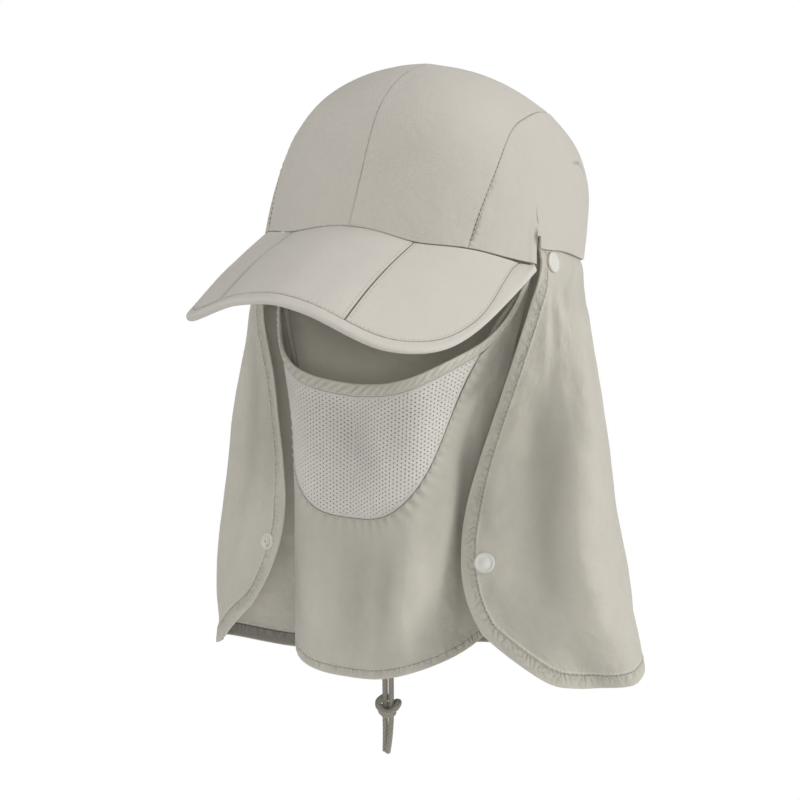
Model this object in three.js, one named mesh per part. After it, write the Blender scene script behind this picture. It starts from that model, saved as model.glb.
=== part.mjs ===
import * as THREE from 'three';

// Hiking cap with a folding brim, a neck cape, a face veil and a chin cord.
// Millimetres. The origin is the centre of the head opening, +Z up, the brim points to -Y
// and the wearer's left is +X.

// Cloth and seams
const CROWN_CLOTH = 1.2;
const CAPE_CLOTH = 1.2;
const VEIL_CLOTH = 1.0;
const BRIM_PLATE = 3.0;
const BRIM_BAND = 4.4;
const SEAM_GAP = 0.3;

// Crown: upright sections of the dome, one row for each level, from the rim's level to the top
const CROWN_TOP = 103.7;
const CROWN_ROUNDNESS = 2.3;
const CROWN_LEVELS = [
  { rise: 0, halfWidth: 83.4, front: 95.2, back: 106.9 },
  { rise: 18, halfWidth: 80.4, front: 80.1, back: 118.3 },
  { rise: 36, halfWidth: 71.1, front: 65.4, back: 100.4 },
  { rise: 54, halfWidth: 54.3, front: 51.3, back: 64.1 },
  { rise: 72, halfWidth: 29.0, front: 28.7, back: 31.2 },
  { rise: 90, halfWidth: 0, front: 0, back: 0 },
];

// Height of the crown's rim, in front of the slits and behind them; angle 0 is the front. Two
// rows from the far side keep the middle smooth.
const SLIT = { front: 81, back: 83, top: 15.6 };
const FRONT_RIM = [
  { angle: -24, height: 18.4 },
  { angle: -14, height: 21.7 },
  { angle: 0, height: 24.5 },
  { angle: 14, height: 21.7 },
  { angle: 24, height: 18.4 },
  { angle: 36, height: 16.4 },
  { angle: 48, height: 13.9 },
  { angle: 60, height: 9.4 },
  { angle: 72, height: 4.3 },
  { angle: 81, height: 0.6 },
];
const REAR_RIM = [
  { angle: 83, height: 8.6 },
  { angle: 94, height: 3.6 },
  { angle: 103, height: -1.4 },
  { angle: 124, height: -9.4 },
  { angle: 150, height: -13.0 },
  { angle: 180, height: -14.0 },
];

// Side seam: it leaves the rim beside the brim, climbs and then runs level round the back
const SIDE_SEAM = [
  { angle: 46.5, rise: 7.9 },
  { angle: 49.7, rise: 16.1 },
  { angle: 56.5, rise: 26.9 },
  { angle: 69.4, rise: 39.2 },
  { angle: 91.4, rise: 47.6 },
  { angle: 104.5, rise: 48.6 },
  { angle: 118, rise: 47.4 },
  { angle: 135, rise: 44.5 },
  { angle: 155, rise: 41.5 },
  { angle: 180, rise: 40.5 },
];
const BACK_SEAM_ANGLE = 130;
// Columns that the panels above and below the side seam share, and half the seam's gap, in degrees
const SEAM_COLUMNS = [46.9, 47.6, 48.6, 50, 52, 54.5, 58, 63, 69, 75, 81, 83, 88, 94, 101, 109, 117, 125];
const SEAM_HALF = 0.13;
const SLIT_CUT = 0.15;

// Brim: a row for each rib, from the crown's rim out to the free edge, with two from the far side
const BRIM_RIBS = [
  { angle: -24, x: -37.7, y: -163.6, z: -14.9 },
  { angle: -12, x: -19.5, y: -166.3, z: -8.3 },
  { angle: 0, x: 0, y: -167, z: -5.5 },
  { angle: 12, x: 19.5, y: -166.3, z: -8.3 },
  { angle: 24, x: 37.7, y: -163.6, z: -14.9 },
  { angle: 30, x: 55.5, y: -155, z: -23.2 },
  { angle: 36, x: 69, y: -140, z: -27.5 },
  { angle: 43, x: 78.5, y: -119.5, z: -28 },
  { angle: 51, x: 84.5, y: -95, z: -22.4 },
  { angle: 60, x: 87.3, y: -70, z: -13.6 },
  { angle: 69, x: 87.6, y: -49, z: -6.8 },
  { angle: 76, x: 87, y: -35, z: -2.4 },
  { angle: 80, x: 85.6, y: -27, z: -0.6 },
];
const BRIM_CREASE = 24;
const BRIM_CREASE_GAP = 0.1;
const BRIM_BAND_WIDTH = 7;
const BRIM_PANEL_TURN = 50;
const BRIM_PANEL_END = 71;
const BRIM_BAND_GAP = 0.4;
// Where the brim meets the crown: how far inside its rim, and below it by a gap and a share of
// the brim's thickness
const BRIM_SEAT = { inset: 0.9, gap: 0.39, thicknessShare: 0.55 };
const BRIM_BULGE = 3.2;
const BRIM_FULL_LENGTH = 80;
const BRIM_LEFT_DROOP = 4.6;

// Neck cape: level sections, one row each. The back half is a superellipse, the front half an
// ellipse that ends at the flap's front edge.
const CAPE_LEVELS = [
  { z: 0, halfWidth: 87.5, centreY: -9, backY: 104, backRound: 1.9, edgeX: 84, edgeY: -19.5 },
  { z: -14, halfWidth: 94, centreY: -9, backY: 103, backRound: 1.7, edgeX: 84, edgeY: -28 },
  { z: -40, halfWidth: 103, centreY: -8, backY: 101, backRound: 1.55, edgeX: 81, edgeY: -40 },
  { z: -70, halfWidth: 109.5, centreY: -5, backY: 98, backRound: 1.55, edgeX: 72.5, edgeY: -44 },
  { z: -100, halfWidth: 114.5, centreY: -3, backY: 95, backRound: 1.62, edgeX: 64.5, edgeY: -50 },
  { z: -130, halfWidth: 118.5, centreY: -1, backY: 93, backRound: 1.7, edgeX: 57.5, edgeY: -55 },
  { z: -160, halfWidth: 121.5, centreY: 0, backY: 91, backRound: 1.82, edgeX: 56.7, edgeY: -60 },
  { z: -184, halfWidth: 125.5, centreY: 2, backY: 90, backRound: 1.9, edgeX: 63.7, edgeY: -65 },
  { z: -204, halfWidth: 128.5, centreY: 4, backY: 90, backRound: 1.95, edgeX: 76, edgeY: -65 },
  { z: -236, halfWidth: 132, centreY: 6, backY: 90, backRound: 2.0, edgeX: 96, edgeY: -50 },
  { z: -260, halfWidth: 133, centreY: 6, backY: 91, backRound: 2.0, edgeX: 103, edgeY: -44 },
];
// Cape's hem from the back (0) to the front corner (1). Its tilt lifts the wearer's left side
// and lowers the right one.
const CAPE_HEM = [
  { along: 0, height: -250.5, tilt: 0 },
  { along: 0.15, height: -253.5, tilt: 1.5 },
  { along: 0.3, height: -255, tilt: 4.5 },
  { along: 0.46, height: -247.5, tilt: 8.5 },
  { along: 0.58, height: -241.1, tilt: 7.5 },
  { along: 0.7, height: -237.7, tilt: 3.3 },
  { along: 0.82, height: -236.3, tilt: 1.7 },
  { along: 0.91, height: -232.1, tilt: 0.2 },
  { along: 0.965, height: -219.7, tilt: -1.8 },
  { along: 1, height: -200, tilt: 0 },
];
// Soft upright folds of the cape: the side (0 for both), place along the half, depth at the hem,
// width and the drop below the rim over which the fold grows
const CAPE_FOLDS = [
  { side: 0, along: 0, depth: 5, width: 0.09, reach: 200 },
  { side: 0, along: 0.17, depth: -5, width: 0.07, reach: 200 },
  { side: 0, along: 0.33, depth: 5, width: 0.07, reach: 200 },
  { side: 0, along: 0.49, depth: -3, width: 0.06, reach: 200 },
  { side: 0, along: 0.66, depth: 2.5, width: 0.06, reach: 200 },
  { side: 0, along: 0.8, depth: -3.5, width: 0.055, reach: 200 },
  { side: 1, along: 0.745, depth: 6.5, width: 0.06, reach: 90 },
  { side: 1, along: 0.875, depth: -2.5, width: 0.05, reach: 90 },
];
const CAPE_TUCK = 4;
const CAPE_TUCK_GAP = 0.7;
const CAPE_START_ANGLE = 83.6;
const CAPE_FLARE_START = 1;
const CAPE_FLARE_DEPTH = 26;
const CAPE_FOLD_CENTRE_Y = 10;
const CAPE_HALF_COLUMNS = [
  0, 0.07, 0.14, 0.21, 0.28, 0.35, 0.42, 0.49, 0.56, 0.63, 0.7, 0.76, 0.82, 0.88, 0.93, 0.97, 1,
];
const CAPE_ROWS = [0, 0.02, 0.05, 0.1, 0.16, 0.25, 0.36, 0.48, 0.6, 0.72, 0.83, 0.93, 1];

// Face veil: level sections through its middle, front corner, side and end
const VEIL_LEVELS = [
  { z: 6, middleY: -82, cornerX: 50, cornerY: -75, sideX: 74, sideY: -44, endX: 80.1, endY: -19.5 },
  { z: -20, middleY: -81, cornerX: 48, cornerY: -76, sideX: 70, sideY: -45, endX: 76.4, endY: -22 },
  { z: -50, middleY: -79.5, cornerX: 44, cornerY: -76.5, sideX: 62, sideY: -50, endX: 71, endY: -27 },
  { z: -90, middleY: -80, cornerX: 40, cornerY: -75, sideX: 54, sideY: -51, endX: 66, endY: -26 },
  { z: -140, middleY: -80.5, cornerX: 38.5, cornerY: -76, sideX: 52, sideY: -52, endX: 63, endY: -26 },
  { z: -230, middleY: -80, cornerX: 36, cornerY: -77, sideX: 52, sideY: -51, endX: 62, endY: -26 },
];
const VEIL_TOP = [
  { along: 0, height: -63.5 },
  { along: 0.25, height: -60.5 },
  { along: 0.45, height: -54.5 },
  { along: 0.62, height: -46 },
  { along: 0.78, height: -34.5 },
  { along: 0.9, height: -17 },
  { along: 1, height: 4.5 },
];
const VEIL_HEM = [
  { along: 0, height: -230 },
  { along: 0.2, height: -228.3 },
  { along: 0.4, height: -225 },
  { along: 0.6, height: -220.4 },
  { along: 0.8, height: -213.5 },
  { along: 1, height: -203 },
];
// Seam round the mesh, from the band (1) down to the middle of its U (0)
const VEIL_SEAM = [
  { step: 1, along: 0.73, height: -46.6 },
  { step: 0.86, along: 0.68, height: -65 },
  { step: 0.72, along: 0.63, height: -84 },
  { step: 0.58, along: 0.56, height: -103 },
  { step: 0.44, along: 0.46, height: -119 },
  { step: 0.28, along: 0.3, height: -132.5 },
  { step: 0.14, along: 0.15, height: -137.4 },
  { step: 0, along: 0, height: -138.5 },
];
const VEIL_BAND_DEPTH = 7;
const VEIL_BAND_GAP = 0.95;
const VEIL_SEAM_GAP = 0.003;
// Places along half of the veil where the level sections have their points
const VEIL_PLACES = { middle: 0, corner: 0.48, side: 0.74, end: 1 };
// Share of the seam, from the bottom of its U, that looks down on the hem; the rest looks sideways
const VEIL_SEAM_CORNER = 0.5;
const VEIL_STRAP_COLUMNS = [0.84, 0.9, 0.95, 1];
const VEIL_BODY_ROWS = [0, 0.15, 0.32, 0.5, 0.75, 1];

// Press studs: half sections, from the axis at the foot round to the axis at the top
const SNAP_SIDES = 18;
const SNAP_CAP = [
  { radius: 0, height: 0 },
  { radius: 5.3, height: 0 },
  { radius: 5.8, height: 0.5 },
  { radius: 5.8, height: 1.2 },
  { radius: 5, height: 1.65 },
  { radius: 2.9, height: 1.8 },
  { radius: 0, height: 1.8 },
];
const SNAP_STUD = [
  { radius: 0, height: 0 },
  { radius: 4.6, height: 0 },
  { radius: 4.6, height: 1.2 },
  { radius: 3.6, height: 1.5 },
  { radius: 3.2, height: 0.8 },
  { radius: 2, height: 0.9 },
  { radius: 2, height: 2.1 },
  { radius: 1.6, height: 2.4 },
  { radius: 0.9, height: 2.4 },
  { radius: 0.9, height: 1.1 },
  { radius: 0, height: 1.1 },
];
const TOP_SNAP = { along: 0.937, height: -1.2, lift: 1.15 };
const CORNER_SNAP = { along: 0.955, height: -161.5, lift: 0.55 };
const CORNER_STUD = { along: 0.968, height: -164.5, lift: 0.7 };

// Chin cord: the route of the wearer's left strand, from the temple down to the knot
const CORD = { diameter: 3.2, sides: 8, diametersPerStep: 3, leastSteps: 6 };
const CORD_ROUTE = [
  { x: 78.8, y: -12.3, z: -0.6 },
  { x: 75.4, y: -18.5, z: -9 },
  { x: 71.8, y: -28, z: -19.5 },
  { x: 67.2, y: -36.5, z: -31 },
  { x: 62.4, y: -42.4, z: -44 },
  { x: 57.6, y: -45, z: -58 },
  { x: 53.4, y: -46, z: -75 },
  { x: 50.2, y: -46.2, z: -95 },
  { x: 46.6, y: -46, z: -118 },
  { x: 40.5, y: -45.4, z: -142 },
  { x: 30.5, y: -44.5, z: -167 },
  { x: 18, y: -43.3, z: -189 },
  { x: 7.2, y: -41.8, z: -209 },
  { x: 2.6, y: -40.7, z: -224 },
  { x: 1.95, y: -40.2, z: -238 },
  { x: 1.95, y: -40, z: -249.6 },
];
const KNOT = { y: -40, z: -256, halfWidth: 7.2, halfHeight: 6.2, halfDepth: 5.2, sides: 16, rings: 8 };
const KNOT_SQUARENESS = 0.8;
// Tails below the knot: both lean to -X, and each draws in and turns about the other
const TAIL = { x: 1.95, draw: 0.5, lean: 1.2, turn: 1.25, top: -262.4, bottom: -284, points: 4 };

// How finely the evenly divided pieces are divided
const DIVISIONS = {
  frontForward: 6, frontBackward: 5, frontUp: 8, sideUp: 6, backRound: 14, backUp: 6,
  brimMiddle: 14, brimWing: 16, brimTip: 3, brimOut: 5,
  bandRound: 12, meshRound: 24, meshUp: 7, bodyRound: 32,
};

const COLOURS = {
  crown: 0xbfbbb0,
  brim: 0xc4c0b6,
  cape: 0xb7b3a6,
  veil: 0xb9b5a9,
  mesh: 0xc2c0b8,
  snap: 0xc9cabd,
  cord: 0x8c887c,
};

const radians = (degrees) => (degrees * Math.PI) / 180;
const lerp = (a, b, t) => a + (b - a) * t;
const clamp = (x, low, high) => Math.min(high, Math.max(low, x));
const smoothStep = (t) => {
  const k = clamp(t, 0, 1);
  return k * k * (3 - 2 * k);
};
const signedPower = (x, power) => Math.sign(x) * Math.abs(x) ** power;

// Natural cubic curve through a table's rows; past its ends it goes straight on
function curveThrough(rows, keyColumn, valueColumn) {
  const key = rows.map((row) => row[keyColumn]);
  const value = rows.map((row) => row[valueColumn]);
  const last = key.length - 1;
  const step = key.slice(1).map((k, i) => k - key[i]);
  const slope = step.map((h, i) => (value[i + 1] - value[i]) / h);
  const mu = new Array(last + 1).fill(0);
  const rest = new Array(last + 1).fill(0);
  for (let i = 1; i < last; i++) {
    const pivot = 2 * (key[i + 1] - key[i - 1]) - step[i - 1] * mu[i - 1];
    mu[i] = step[i] / pivot;
    rest[i] = (3 * (slope[i] - slope[i - 1]) - step[i - 1] * rest[i - 1]) / pivot;
  }
  const bend = new Array(last + 1).fill(0);
  for (let i = last - 1; i > 0; i--) bend[i] = rest[i] - mu[i] * bend[i + 1];
  const tangent = (i) => slope[i] - (step[i] * (bend[i + 1] + 2 * bend[i])) / 3;
  return (x) => {
    if (x < key[0]) return value[0] + (x - key[0]) * tangent(0);
    let i = 0;
    while (i < last - 1 && x > key[i + 1]) i++;
    const t = x - key[i];
    if (x > key[last]) {
      const h = step[last - 1];
      const exit = slope[last - 1] + (h * bend[last - 1]) / 3;
      return value[last] + (x - key[last]) * exit;
    }
    const cubic = (bend[i + 1] - bend[i]) / (3 * step[i]);
    return value[i] + t * (tangent(i) + t * (bend[i] + t * cubic));
  };
}

// Rows with a decreasing key, such as heights from the top down, are turned round first
function levels(rows, keyColumn, columns) {
  const rising = rows[0][keyColumn] < rows[rows.length - 1][keyColumn] ? rows : [...rows].reverse();
  const curves = Object.fromEntries(columns.map((c) => [c, curveThrough(rising, keyColumn, c)]));
  return (key) => Object.fromEntries(columns.map((c) => [c, curves[c](key)]));
}

// Surface made of a grid of points. Points that coincide become one vertex, so that a row or
// a column may shrink to a point.
function gridSurface(columns, rows, pointAt) {
  const vertices = [];
  const found = new Map();
  const indexOf = (point) => {
    const key = point.toArray().map((c) => Math.round(c * 1e4)).join(',');
    if (!found.has(key)) {
      found.set(key, vertices.length);
      vertices.push(point);
    }
    return found.get(key);
  };
  const grid = rows.map((v) => columns.map((u) => indexOf(pointAt(u, v))));
  const triangles = [];
  const addTriangle = (a, b, c) => {
    if (a !== b && b !== c && a !== c) triangles.push([a, b, c]);
  };
  for (let j = 0; j + 1 < rows.length; j++) {
    for (let i = 0; i + 1 < columns.length; i++) {
      const [a, b, c, d] = [grid[j][i], grid[j][i + 1], grid[j + 1][i + 1], grid[j + 1][i]];
      if ((i + j) % 2 === 0) {
        addTriangle(a, b, c);
        addTriangle(a, c, d);
      } else {
        addTriangle(a, b, d);
        addTriangle(b, c, d);
      }
    }
  }
  return { vertices, triangles };
}

// Closed wall of cloth: the surface moved to both sides by half its thickness and joined
// along its open edges. inset moves the whole wall against the surface's normals.
function clothWall(surface, thickness, inset = 0) {
  const normals = surface.vertices.map(() => new THREE.Vector3());
  const sideA = new THREE.Vector3();
  const sideB = new THREE.Vector3();
  const open = new Map();
  for (const [a, b, c] of surface.triangles) {
    sideA.subVectors(surface.vertices[b], surface.vertices[a]);
    sideB.subVectors(surface.vertices[c], surface.vertices[a]);
    const normal = sideA.cross(sideB);
    for (const corner of [a, b, c]) normals[corner].add(normal);
    for (const [from, to] of [[a, b], [b, c], [c, a]]) {
      const back = `${to},${from}`;
      if (open.has(back)) open.delete(back);
      else open.set(`${from},${to}`, [from, to]);
    }
  }
  const count = surface.vertices.length;
  const positions = [];
  for (const offset of [thickness / 2 - inset, -thickness / 2 - inset]) {
    surface.vertices.forEach((vertex, i) => {
      const moved = vertex.clone().addScaledVector(normals[i].clone().normalize(), offset);
      positions.push(...moved.toArray());
    });
  }
  const index = [];
  for (const [a, b, c] of surface.triangles) {
    index.push(a, b, c, count + a, count + c, count + b);
  }
  for (const [from, to] of open.values()) {
    index.push(to, from, count + from, to, count + from, count + to);
  }
  const geometry = new THREE.BufferGeometry();
  geometry.setAttribute('position', new THREE.Float32BufferAttribute(positions, 3));
  geometry.setIndex(index);
  geometry.computeVertexNormals();
  return geometry;
}

function evenly(from, to, count) {
  return Array.from({ length: count + 1 }, (_, i) => lerp(from, to, i / count));
}

// Steps of one half, mirrored to the other
const bothSides = (steps) => [...steps.slice(1).reverse().map((a) => -a), ...steps];

// Crown
const crownLevel = levels(CROWN_LEVELS, 'rise', ['halfWidth', 'front', 'back']);
const frontRim = curveThrough(FRONT_RIM, 'angle', 'height');
const rearRim = curveThrough(REAR_RIM, 'angle', 'height');
const sideSeam = curveThrough(SIDE_SEAM, 'angle', 'rise');
const riseOf = (height) => (Math.asin(height / CROWN_TOP) * 180) / Math.PI;

// Point of the crown's outer skin: angle from the front towards +X, rise from the rim's level
function crownPoint(angle, rise) {
  const { halfWidth, front, back } = crownLevel(rise);
  const turn = radians(angle);
  const power = 2 / CROWN_ROUNDNESS;
  const forward = Math.cos(turn);
  const x = halfWidth * signedPower(Math.sin(turn), power);
  const y = -(forward > 0 ? front : back) * signedPower(forward, power);
  return new THREE.Vector3(x, y, CROWN_TOP * Math.sin(radians(rise)));
}

// Rise of the rim at an angle, with the slit as a notch
function rimRise(angle) {
  const turned = Math.abs(angle > 180 ? 360 - angle : angle);
  if (turned <= SLIT.front) return riseOf(frontRim(turned));
  if (turned < SLIT.back) return riseOf(SLIT.top);
  return riseOf(rearRim(turned));
}

const MIRROR = new THREE.Vector3(-1, 1, 1);

function turnedOver(surface) {
  return { vertices: surface.vertices, triangles: surface.triangles.map(([a, b, c]) => [a, c, b]) };
}

function crownPanel(surface, mirror) {
  return clothWall(mirror ? turnedOver(surface) : surface, CROWN_CLOTH, CROWN_CLOTH / 2);
}

// Front panel from the rim or the side seam up to the top, on the +X side of the centre seam
function frontPanel(mirror) {
  const start = SIDE_SEAM[0].angle;
  const angles = [
    ...evenly(0, start - SEAM_HALF, DIVISIONS.frontForward),
    ...SEAM_COLUMNS,
    ...evenly(BACK_SEAM_ANGLE, 180, DIVISIONS.frontBackward),
  ];
  const lower = (angle) => {
    if (angle < start) return rimRise(angle);
    return sideSeam(angle + SEAM_HALF) + SEAM_HALF;
  };
  const halfGap = SEAM_GAP / 2;
  const surface = gridSurface(angles, evenly(0, 1, DIVISIONS.frontUp), (angle, up) => {
    const point = crownPoint(angle, lerp(lower(angle), 90, up));
    point.x = Math.max(0, point.x) * (1 - halfGap / CROWN_LEVELS[0].halfWidth) + halfGap;
    return mirror ? point.multiply(MIRROR) : point;
  });
  return crownPanel(surface, mirror);
}

// Side panel between the rim and the side seam, with the slit behind the brim's end
function sidePanel(mirror) {
  const slitSides = [SLIT.front + SLIT_CUT, SLIT.back - SLIT_CUT];
  const angles = [...SEAM_COLUMNS, ...slitSides, BACK_SEAM_ANGLE - SEAM_HALF].sort((a, b) => a - b);
  const surface = gridSurface(angles, evenly(0, 1, DIVISIONS.sideUp), (angle, up) => {
    const top = sideSeam(angle - SEAM_HALF) - SEAM_HALF;
    const point = crownPoint(angle, lerp(rimRise(angle), top, up));
    return mirror ? point.multiply(MIRROR) : point;
  });
  return crownPanel(surface, mirror);
}

function backPanel() {
  const start = BACK_SEAM_ANGLE + 1.5 * SEAM_HALF;
  const angles = evenly(start, 360 - start, DIVISIONS.backRound);
  const surface = gridSurface(angles, evenly(0, 1, DIVISIONS.backUp), (angle, up) => {
    const turned = angle > 180 ? 360 - angle : angle;
    const top = sideSeam(turned) - 2 * SEAM_HALF;
    return crownPoint(angle, lerp(rimRise(angle), top, up));
  });
  return crownPanel(surface, false);
}

// Brim
const brimRib = levels(BRIM_RIBS, 'angle', ['x', 'y', 'z']);

// The line between the panels and the stitched band runs in to the crown near the brim's end
function panelRunIn(angle) {
  return clamp((angle - BRIM_PANEL_TURN) / (BRIM_PANEL_END - BRIM_PANEL_TURN), 0, 1) ** 2;
}

// Point of the brim: side is the angle on the crown, negative on the wearer's right, and out
// runs from the crown's rim (0) to the free edge (1)
function brimPoint(side, out) {
  const angle = Math.abs(side);
  const sign = side < 0 ? -1 : 1;
  const root = crownPoint(angle, rimRise(angle));
  const edge = brimRib(angle);
  const inward = 1 - BRIM_SEAT.inset / Math.hypot(root.x, root.y);
  const length = Math.hypot(root.x - edge.x, root.y - edge.y);
  const fullness = Math.min(1, length / BRIM_FULL_LENGTH);
  const thickness = lerp(BRIM_PLATE, BRIM_BAND, panelRunIn(angle));
  const seat = BRIM_SEAT.gap + BRIM_SEAT.thicknessShare * thickness;
  const droop = (BRIM_LEFT_DROOP * fullness * sign * edge.x) / BRIM_RIBS[BRIM_RIBS.length - 1].x;
  const point = new THREE.Vector3(
    sign * lerp(root.x * inward, edge.x, out),
    lerp(root.y * inward, edge.y, out),
    lerp(root.z - seat, edge.z - droop, out),
  );
  point.z += BRIM_BULGE * Math.sin(Math.PI * out) * fullness;
  return point;
}

// How far out on a rib the line between panel and band lies, moved by a distance
function bandLineOut(side, moved) {
  const length = brimPoint(side, 0).distanceTo(brimPoint(side, 1));
  const share = (1 - BRIM_BAND_WIDTH / length) * (1 - panelRunIn(Math.abs(side)));
  return Math.max(0, share + moved / length);
}

// Columns of the middle panel and of the left one, which the band shares
const creaseSide = BRIM_CREASE - BRIM_CREASE_GAP;
const middleColumns = evenly(-creaseSide, creaseSide, DIVISIONS.brimMiddle);
const wingColumns = evenly(BRIM_CREASE + BRIM_CREASE_GAP, BRIM_PANEL_END - 1, DIVISIONS.brimWing);
const brimEnd = BRIM_RIBS[BRIM_RIBS.length - 1].angle;
const tipColumns = evenly(BRIM_PANEL_END, brimEnd, DIVISIONS.brimTip);
const mirrored = (columns) => columns.map((side) => -side).reverse();

function brimPanel(columns) {
  const surface = gridSurface(columns, evenly(0, 1, DIVISIONS.brimOut), (side, out) => {
    return brimPoint(side, lerp(0, bandLineOut(side, -BRIM_BAND_GAP), out));
  });
  return clothWall(turnedOver(surface), BRIM_PLATE);
}

function brimBand() {
  const wing = [...wingColumns, ...tipColumns];
  const columns = [...mirrored(wing), ...middleColumns, ...wing];
  const surface = gridSurface(columns, [0, 0.5, 1], (side, out) => {
    return brimPoint(side, lerp(bandLineOut(side, BRIM_BAND_GAP), 1, out));
  });
  return clothWall(turnedOver(surface), BRIM_BAND);
}

// Neck cape
const capeColumns = ['halfWidth', 'centreY', 'backY', 'backRound', 'edgeX', 'edgeY'];
const capeLevel = levels(CAPE_LEVELS, 'z', capeColumns);
const capeHem = levels(CAPE_HEM, 'along', ['height', 'tilt']);

// Level section at a height: half runs from the back's middle (0) to the front edge (1)
function capePlan(half, z) {
  const { halfWidth, centreY, backY, backRound, edgeX, edgeY } = capeLevel(z);
  const edgeTurn = Math.asin(edgeX / halfWidth);
  const turn = lerp(Math.PI, edgeTurn, half);
  const frontReach = (centreY - edgeY) / Math.cos(edgeTurn);
  const forward = Math.cos(turn);
  if (forward > 0) return [halfWidth * Math.sin(turn), centreY - frontReach * forward];
  const power = 2 / backRound;
  return [halfWidth * Math.sin(turn) ** power, centreY + (backY - centreY) * (-forward) ** power];
}

// Point of the cape: along runs from the back's middle to a front edge, negative on -X. Under
// the crown it follows the crown's inside, and below the rim it flares out to its own sections.
function capePoint(along, z) {
  const half = Math.abs(along);
  const angle = lerp(180, CAPE_START_ANGLE, half);
  const rim = rearRim(angle);
  const flareTop = rim - CAPE_FLARE_START;
  const inset = CROWN_CLOTH + CAPE_TUCK_GAP + CAPE_CLOTH / 2;
  const ring = crownPoint(angle, riseOf(Math.max(z, flareTop)));
  const shrink = 1 - inset / Math.hypot(ring.x, ring.y);
  const blend = smoothStep((flareTop - z) / CAPE_FLARE_DEPTH);
  const [planX, planY] = capePlan(half, Math.min(z, 0));
  let fold = 0;
  for (const { side, along: at, depth, width, reach } of CAPE_FOLDS) {
    if (side * along < 0) continue;
    fold += depth * Math.exp(-(((half - at) / width) ** 2)) * smoothStep((rim - z) / reach);
  }
  const outward = new THREE.Vector2(planX, planY - CAPE_FOLD_CENTRE_Y).setLength(fold);
  const x = lerp(ring.x * shrink, planX, blend) + outward.x;
  const y = lerp(ring.y * shrink, planY, blend) + outward.y;
  return new THREE.Vector3(along < 0 ? -x : x, y, z);
}

function neckCape() {
  const surface = gridSurface(bothSides(CAPE_HALF_COLUMNS), CAPE_ROWS, (along, down) => {
    const half = Math.abs(along);
    const top = rearRim(lerp(180, CAPE_START_ANGLE, half)) + CAPE_TUCK;
    const { height, tilt } = capeHem(half);
    return capePoint(along, lerp(top, height + tilt * Math.sign(along), down));
  });
  return clothWall(surface, CAPE_CLOTH);
}

// Face veil
const veilColumns = ['middleY', 'cornerX', 'cornerY', 'sideX', 'sideY', 'endX', 'endY'];
const veilLevel = levels(VEIL_LEVELS, 'z', veilColumns);
const veilTop = curveThrough(VEIL_TOP, 'along', 'height');
const veilHem = curveThrough(VEIL_HEM, 'along', 'height');

function veilPoint(along, z) {
  const half = Math.abs(along);
  const row = veilLevel(z);
  const knots = [
    { at: -VEIL_PLACES.corner, x: -row.cornerX, y: row.cornerY },
    { at: VEIL_PLACES.middle, x: 0, y: row.middleY },
    { at: VEIL_PLACES.corner, x: row.cornerX, y: row.cornerY },
    { at: VEIL_PLACES.side, x: row.sideX, y: row.sideY },
    { at: VEIL_PLACES.end, x: row.endX, y: row.endY },
  ];
  const x = curveThrough(knots, 'at', 'x')(half);
  const y = curveThrough(knots, 'at', 'y')(half);
  return new THREE.Vector3(along < 0 ? -x : x, y, z);
}

function veilBand() {
  const strapStart = VEIL_TOP[VEIL_TOP.length - 3].along;
  const alongs = bothSides([...evenly(0, strapStart, DIVISIONS.bandRound), ...VEIL_STRAP_COLUMNS]);
  const surface = gridSurface(alongs, [0, 0.5, 1], (along, down) => {
    const top = veilTop(Math.abs(along));
    return veilPoint(along, top - down * VEIL_BAND_DEPTH);
  });
  return clothWall(surface, VEIL_CLOTH);
}

const seamLine = levels(VEIL_SEAM, 'step', ['along', 'height']);
const bandLine = (along) => veilTop(Math.abs(along)) - VEIL_BAND_DEPTH - VEIL_BAND_GAP;

// The mesh fills the U between the band and the seam, and the plain cloth lies round it. In
// both, turn runs along the seam from -1 to 1 through its bottom.
function veilMesh() {
  const turns = evenly(-1, 1, DIVISIONS.meshRound);
  const surface = gridSurface(turns, evenly(0, 1, DIVISIONS.meshUp), (turn, up) => {
    const seam = seamLine(Math.abs(turn));
    const top = VEIL_SEAM[0].along * turn;
    const along = lerp(Math.sign(turn) * seam.along, top, up);
    return veilPoint(along, lerp(seam.height, bandLine(top), up));
  });
  return clothWall(turnedOver(surface), VEIL_CLOTH);
}

function veilBody() {
  const turns = evenly(-1, 1, DIVISIONS.bodyRound);
  const surface = gridSurface(turns, VEIL_BODY_ROWS, (turn, out) => {
    const half = Math.abs(turn);
    const seam = seamLine(half);
    const down = half / VEIL_SEAM_CORNER;
    const side = (half - VEIL_SEAM_CORNER) / (1 - VEIL_SEAM_CORNER);
    const end = side < 0
      ? { along: down, height: veilHem(down) }
      : { along: 1, height: lerp(veilHem(1), bandLine(1), side) };
    const along = lerp(seam.along + VEIL_SEAM_GAP * Math.min(1, 2 * down), end.along, out);
    const height = lerp(seam.height - SEAM_GAP, end.height, out);
    // Towards the top, the rows bend from straight to the curve of the band
    const straight = lerp(bandLine(VEIL_SEAM[0].along), bandLine(1), out);
    const bend = bandLine(along) - straight - SEAM_GAP;
    return veilPoint(turn < 0 ? -along : along, height + bend * Math.max(0, 2 * side - 1));
  });
  return clothWall(surface, VEIL_CLOTH);
}

// Fastenings
function latheOf(profile) {
  const points = profile.map(({ radius, height }) => new THREE.Vector2(radius, height));
  return new THREE.LatheGeometry(points, SNAP_SIDES);
}

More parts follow.
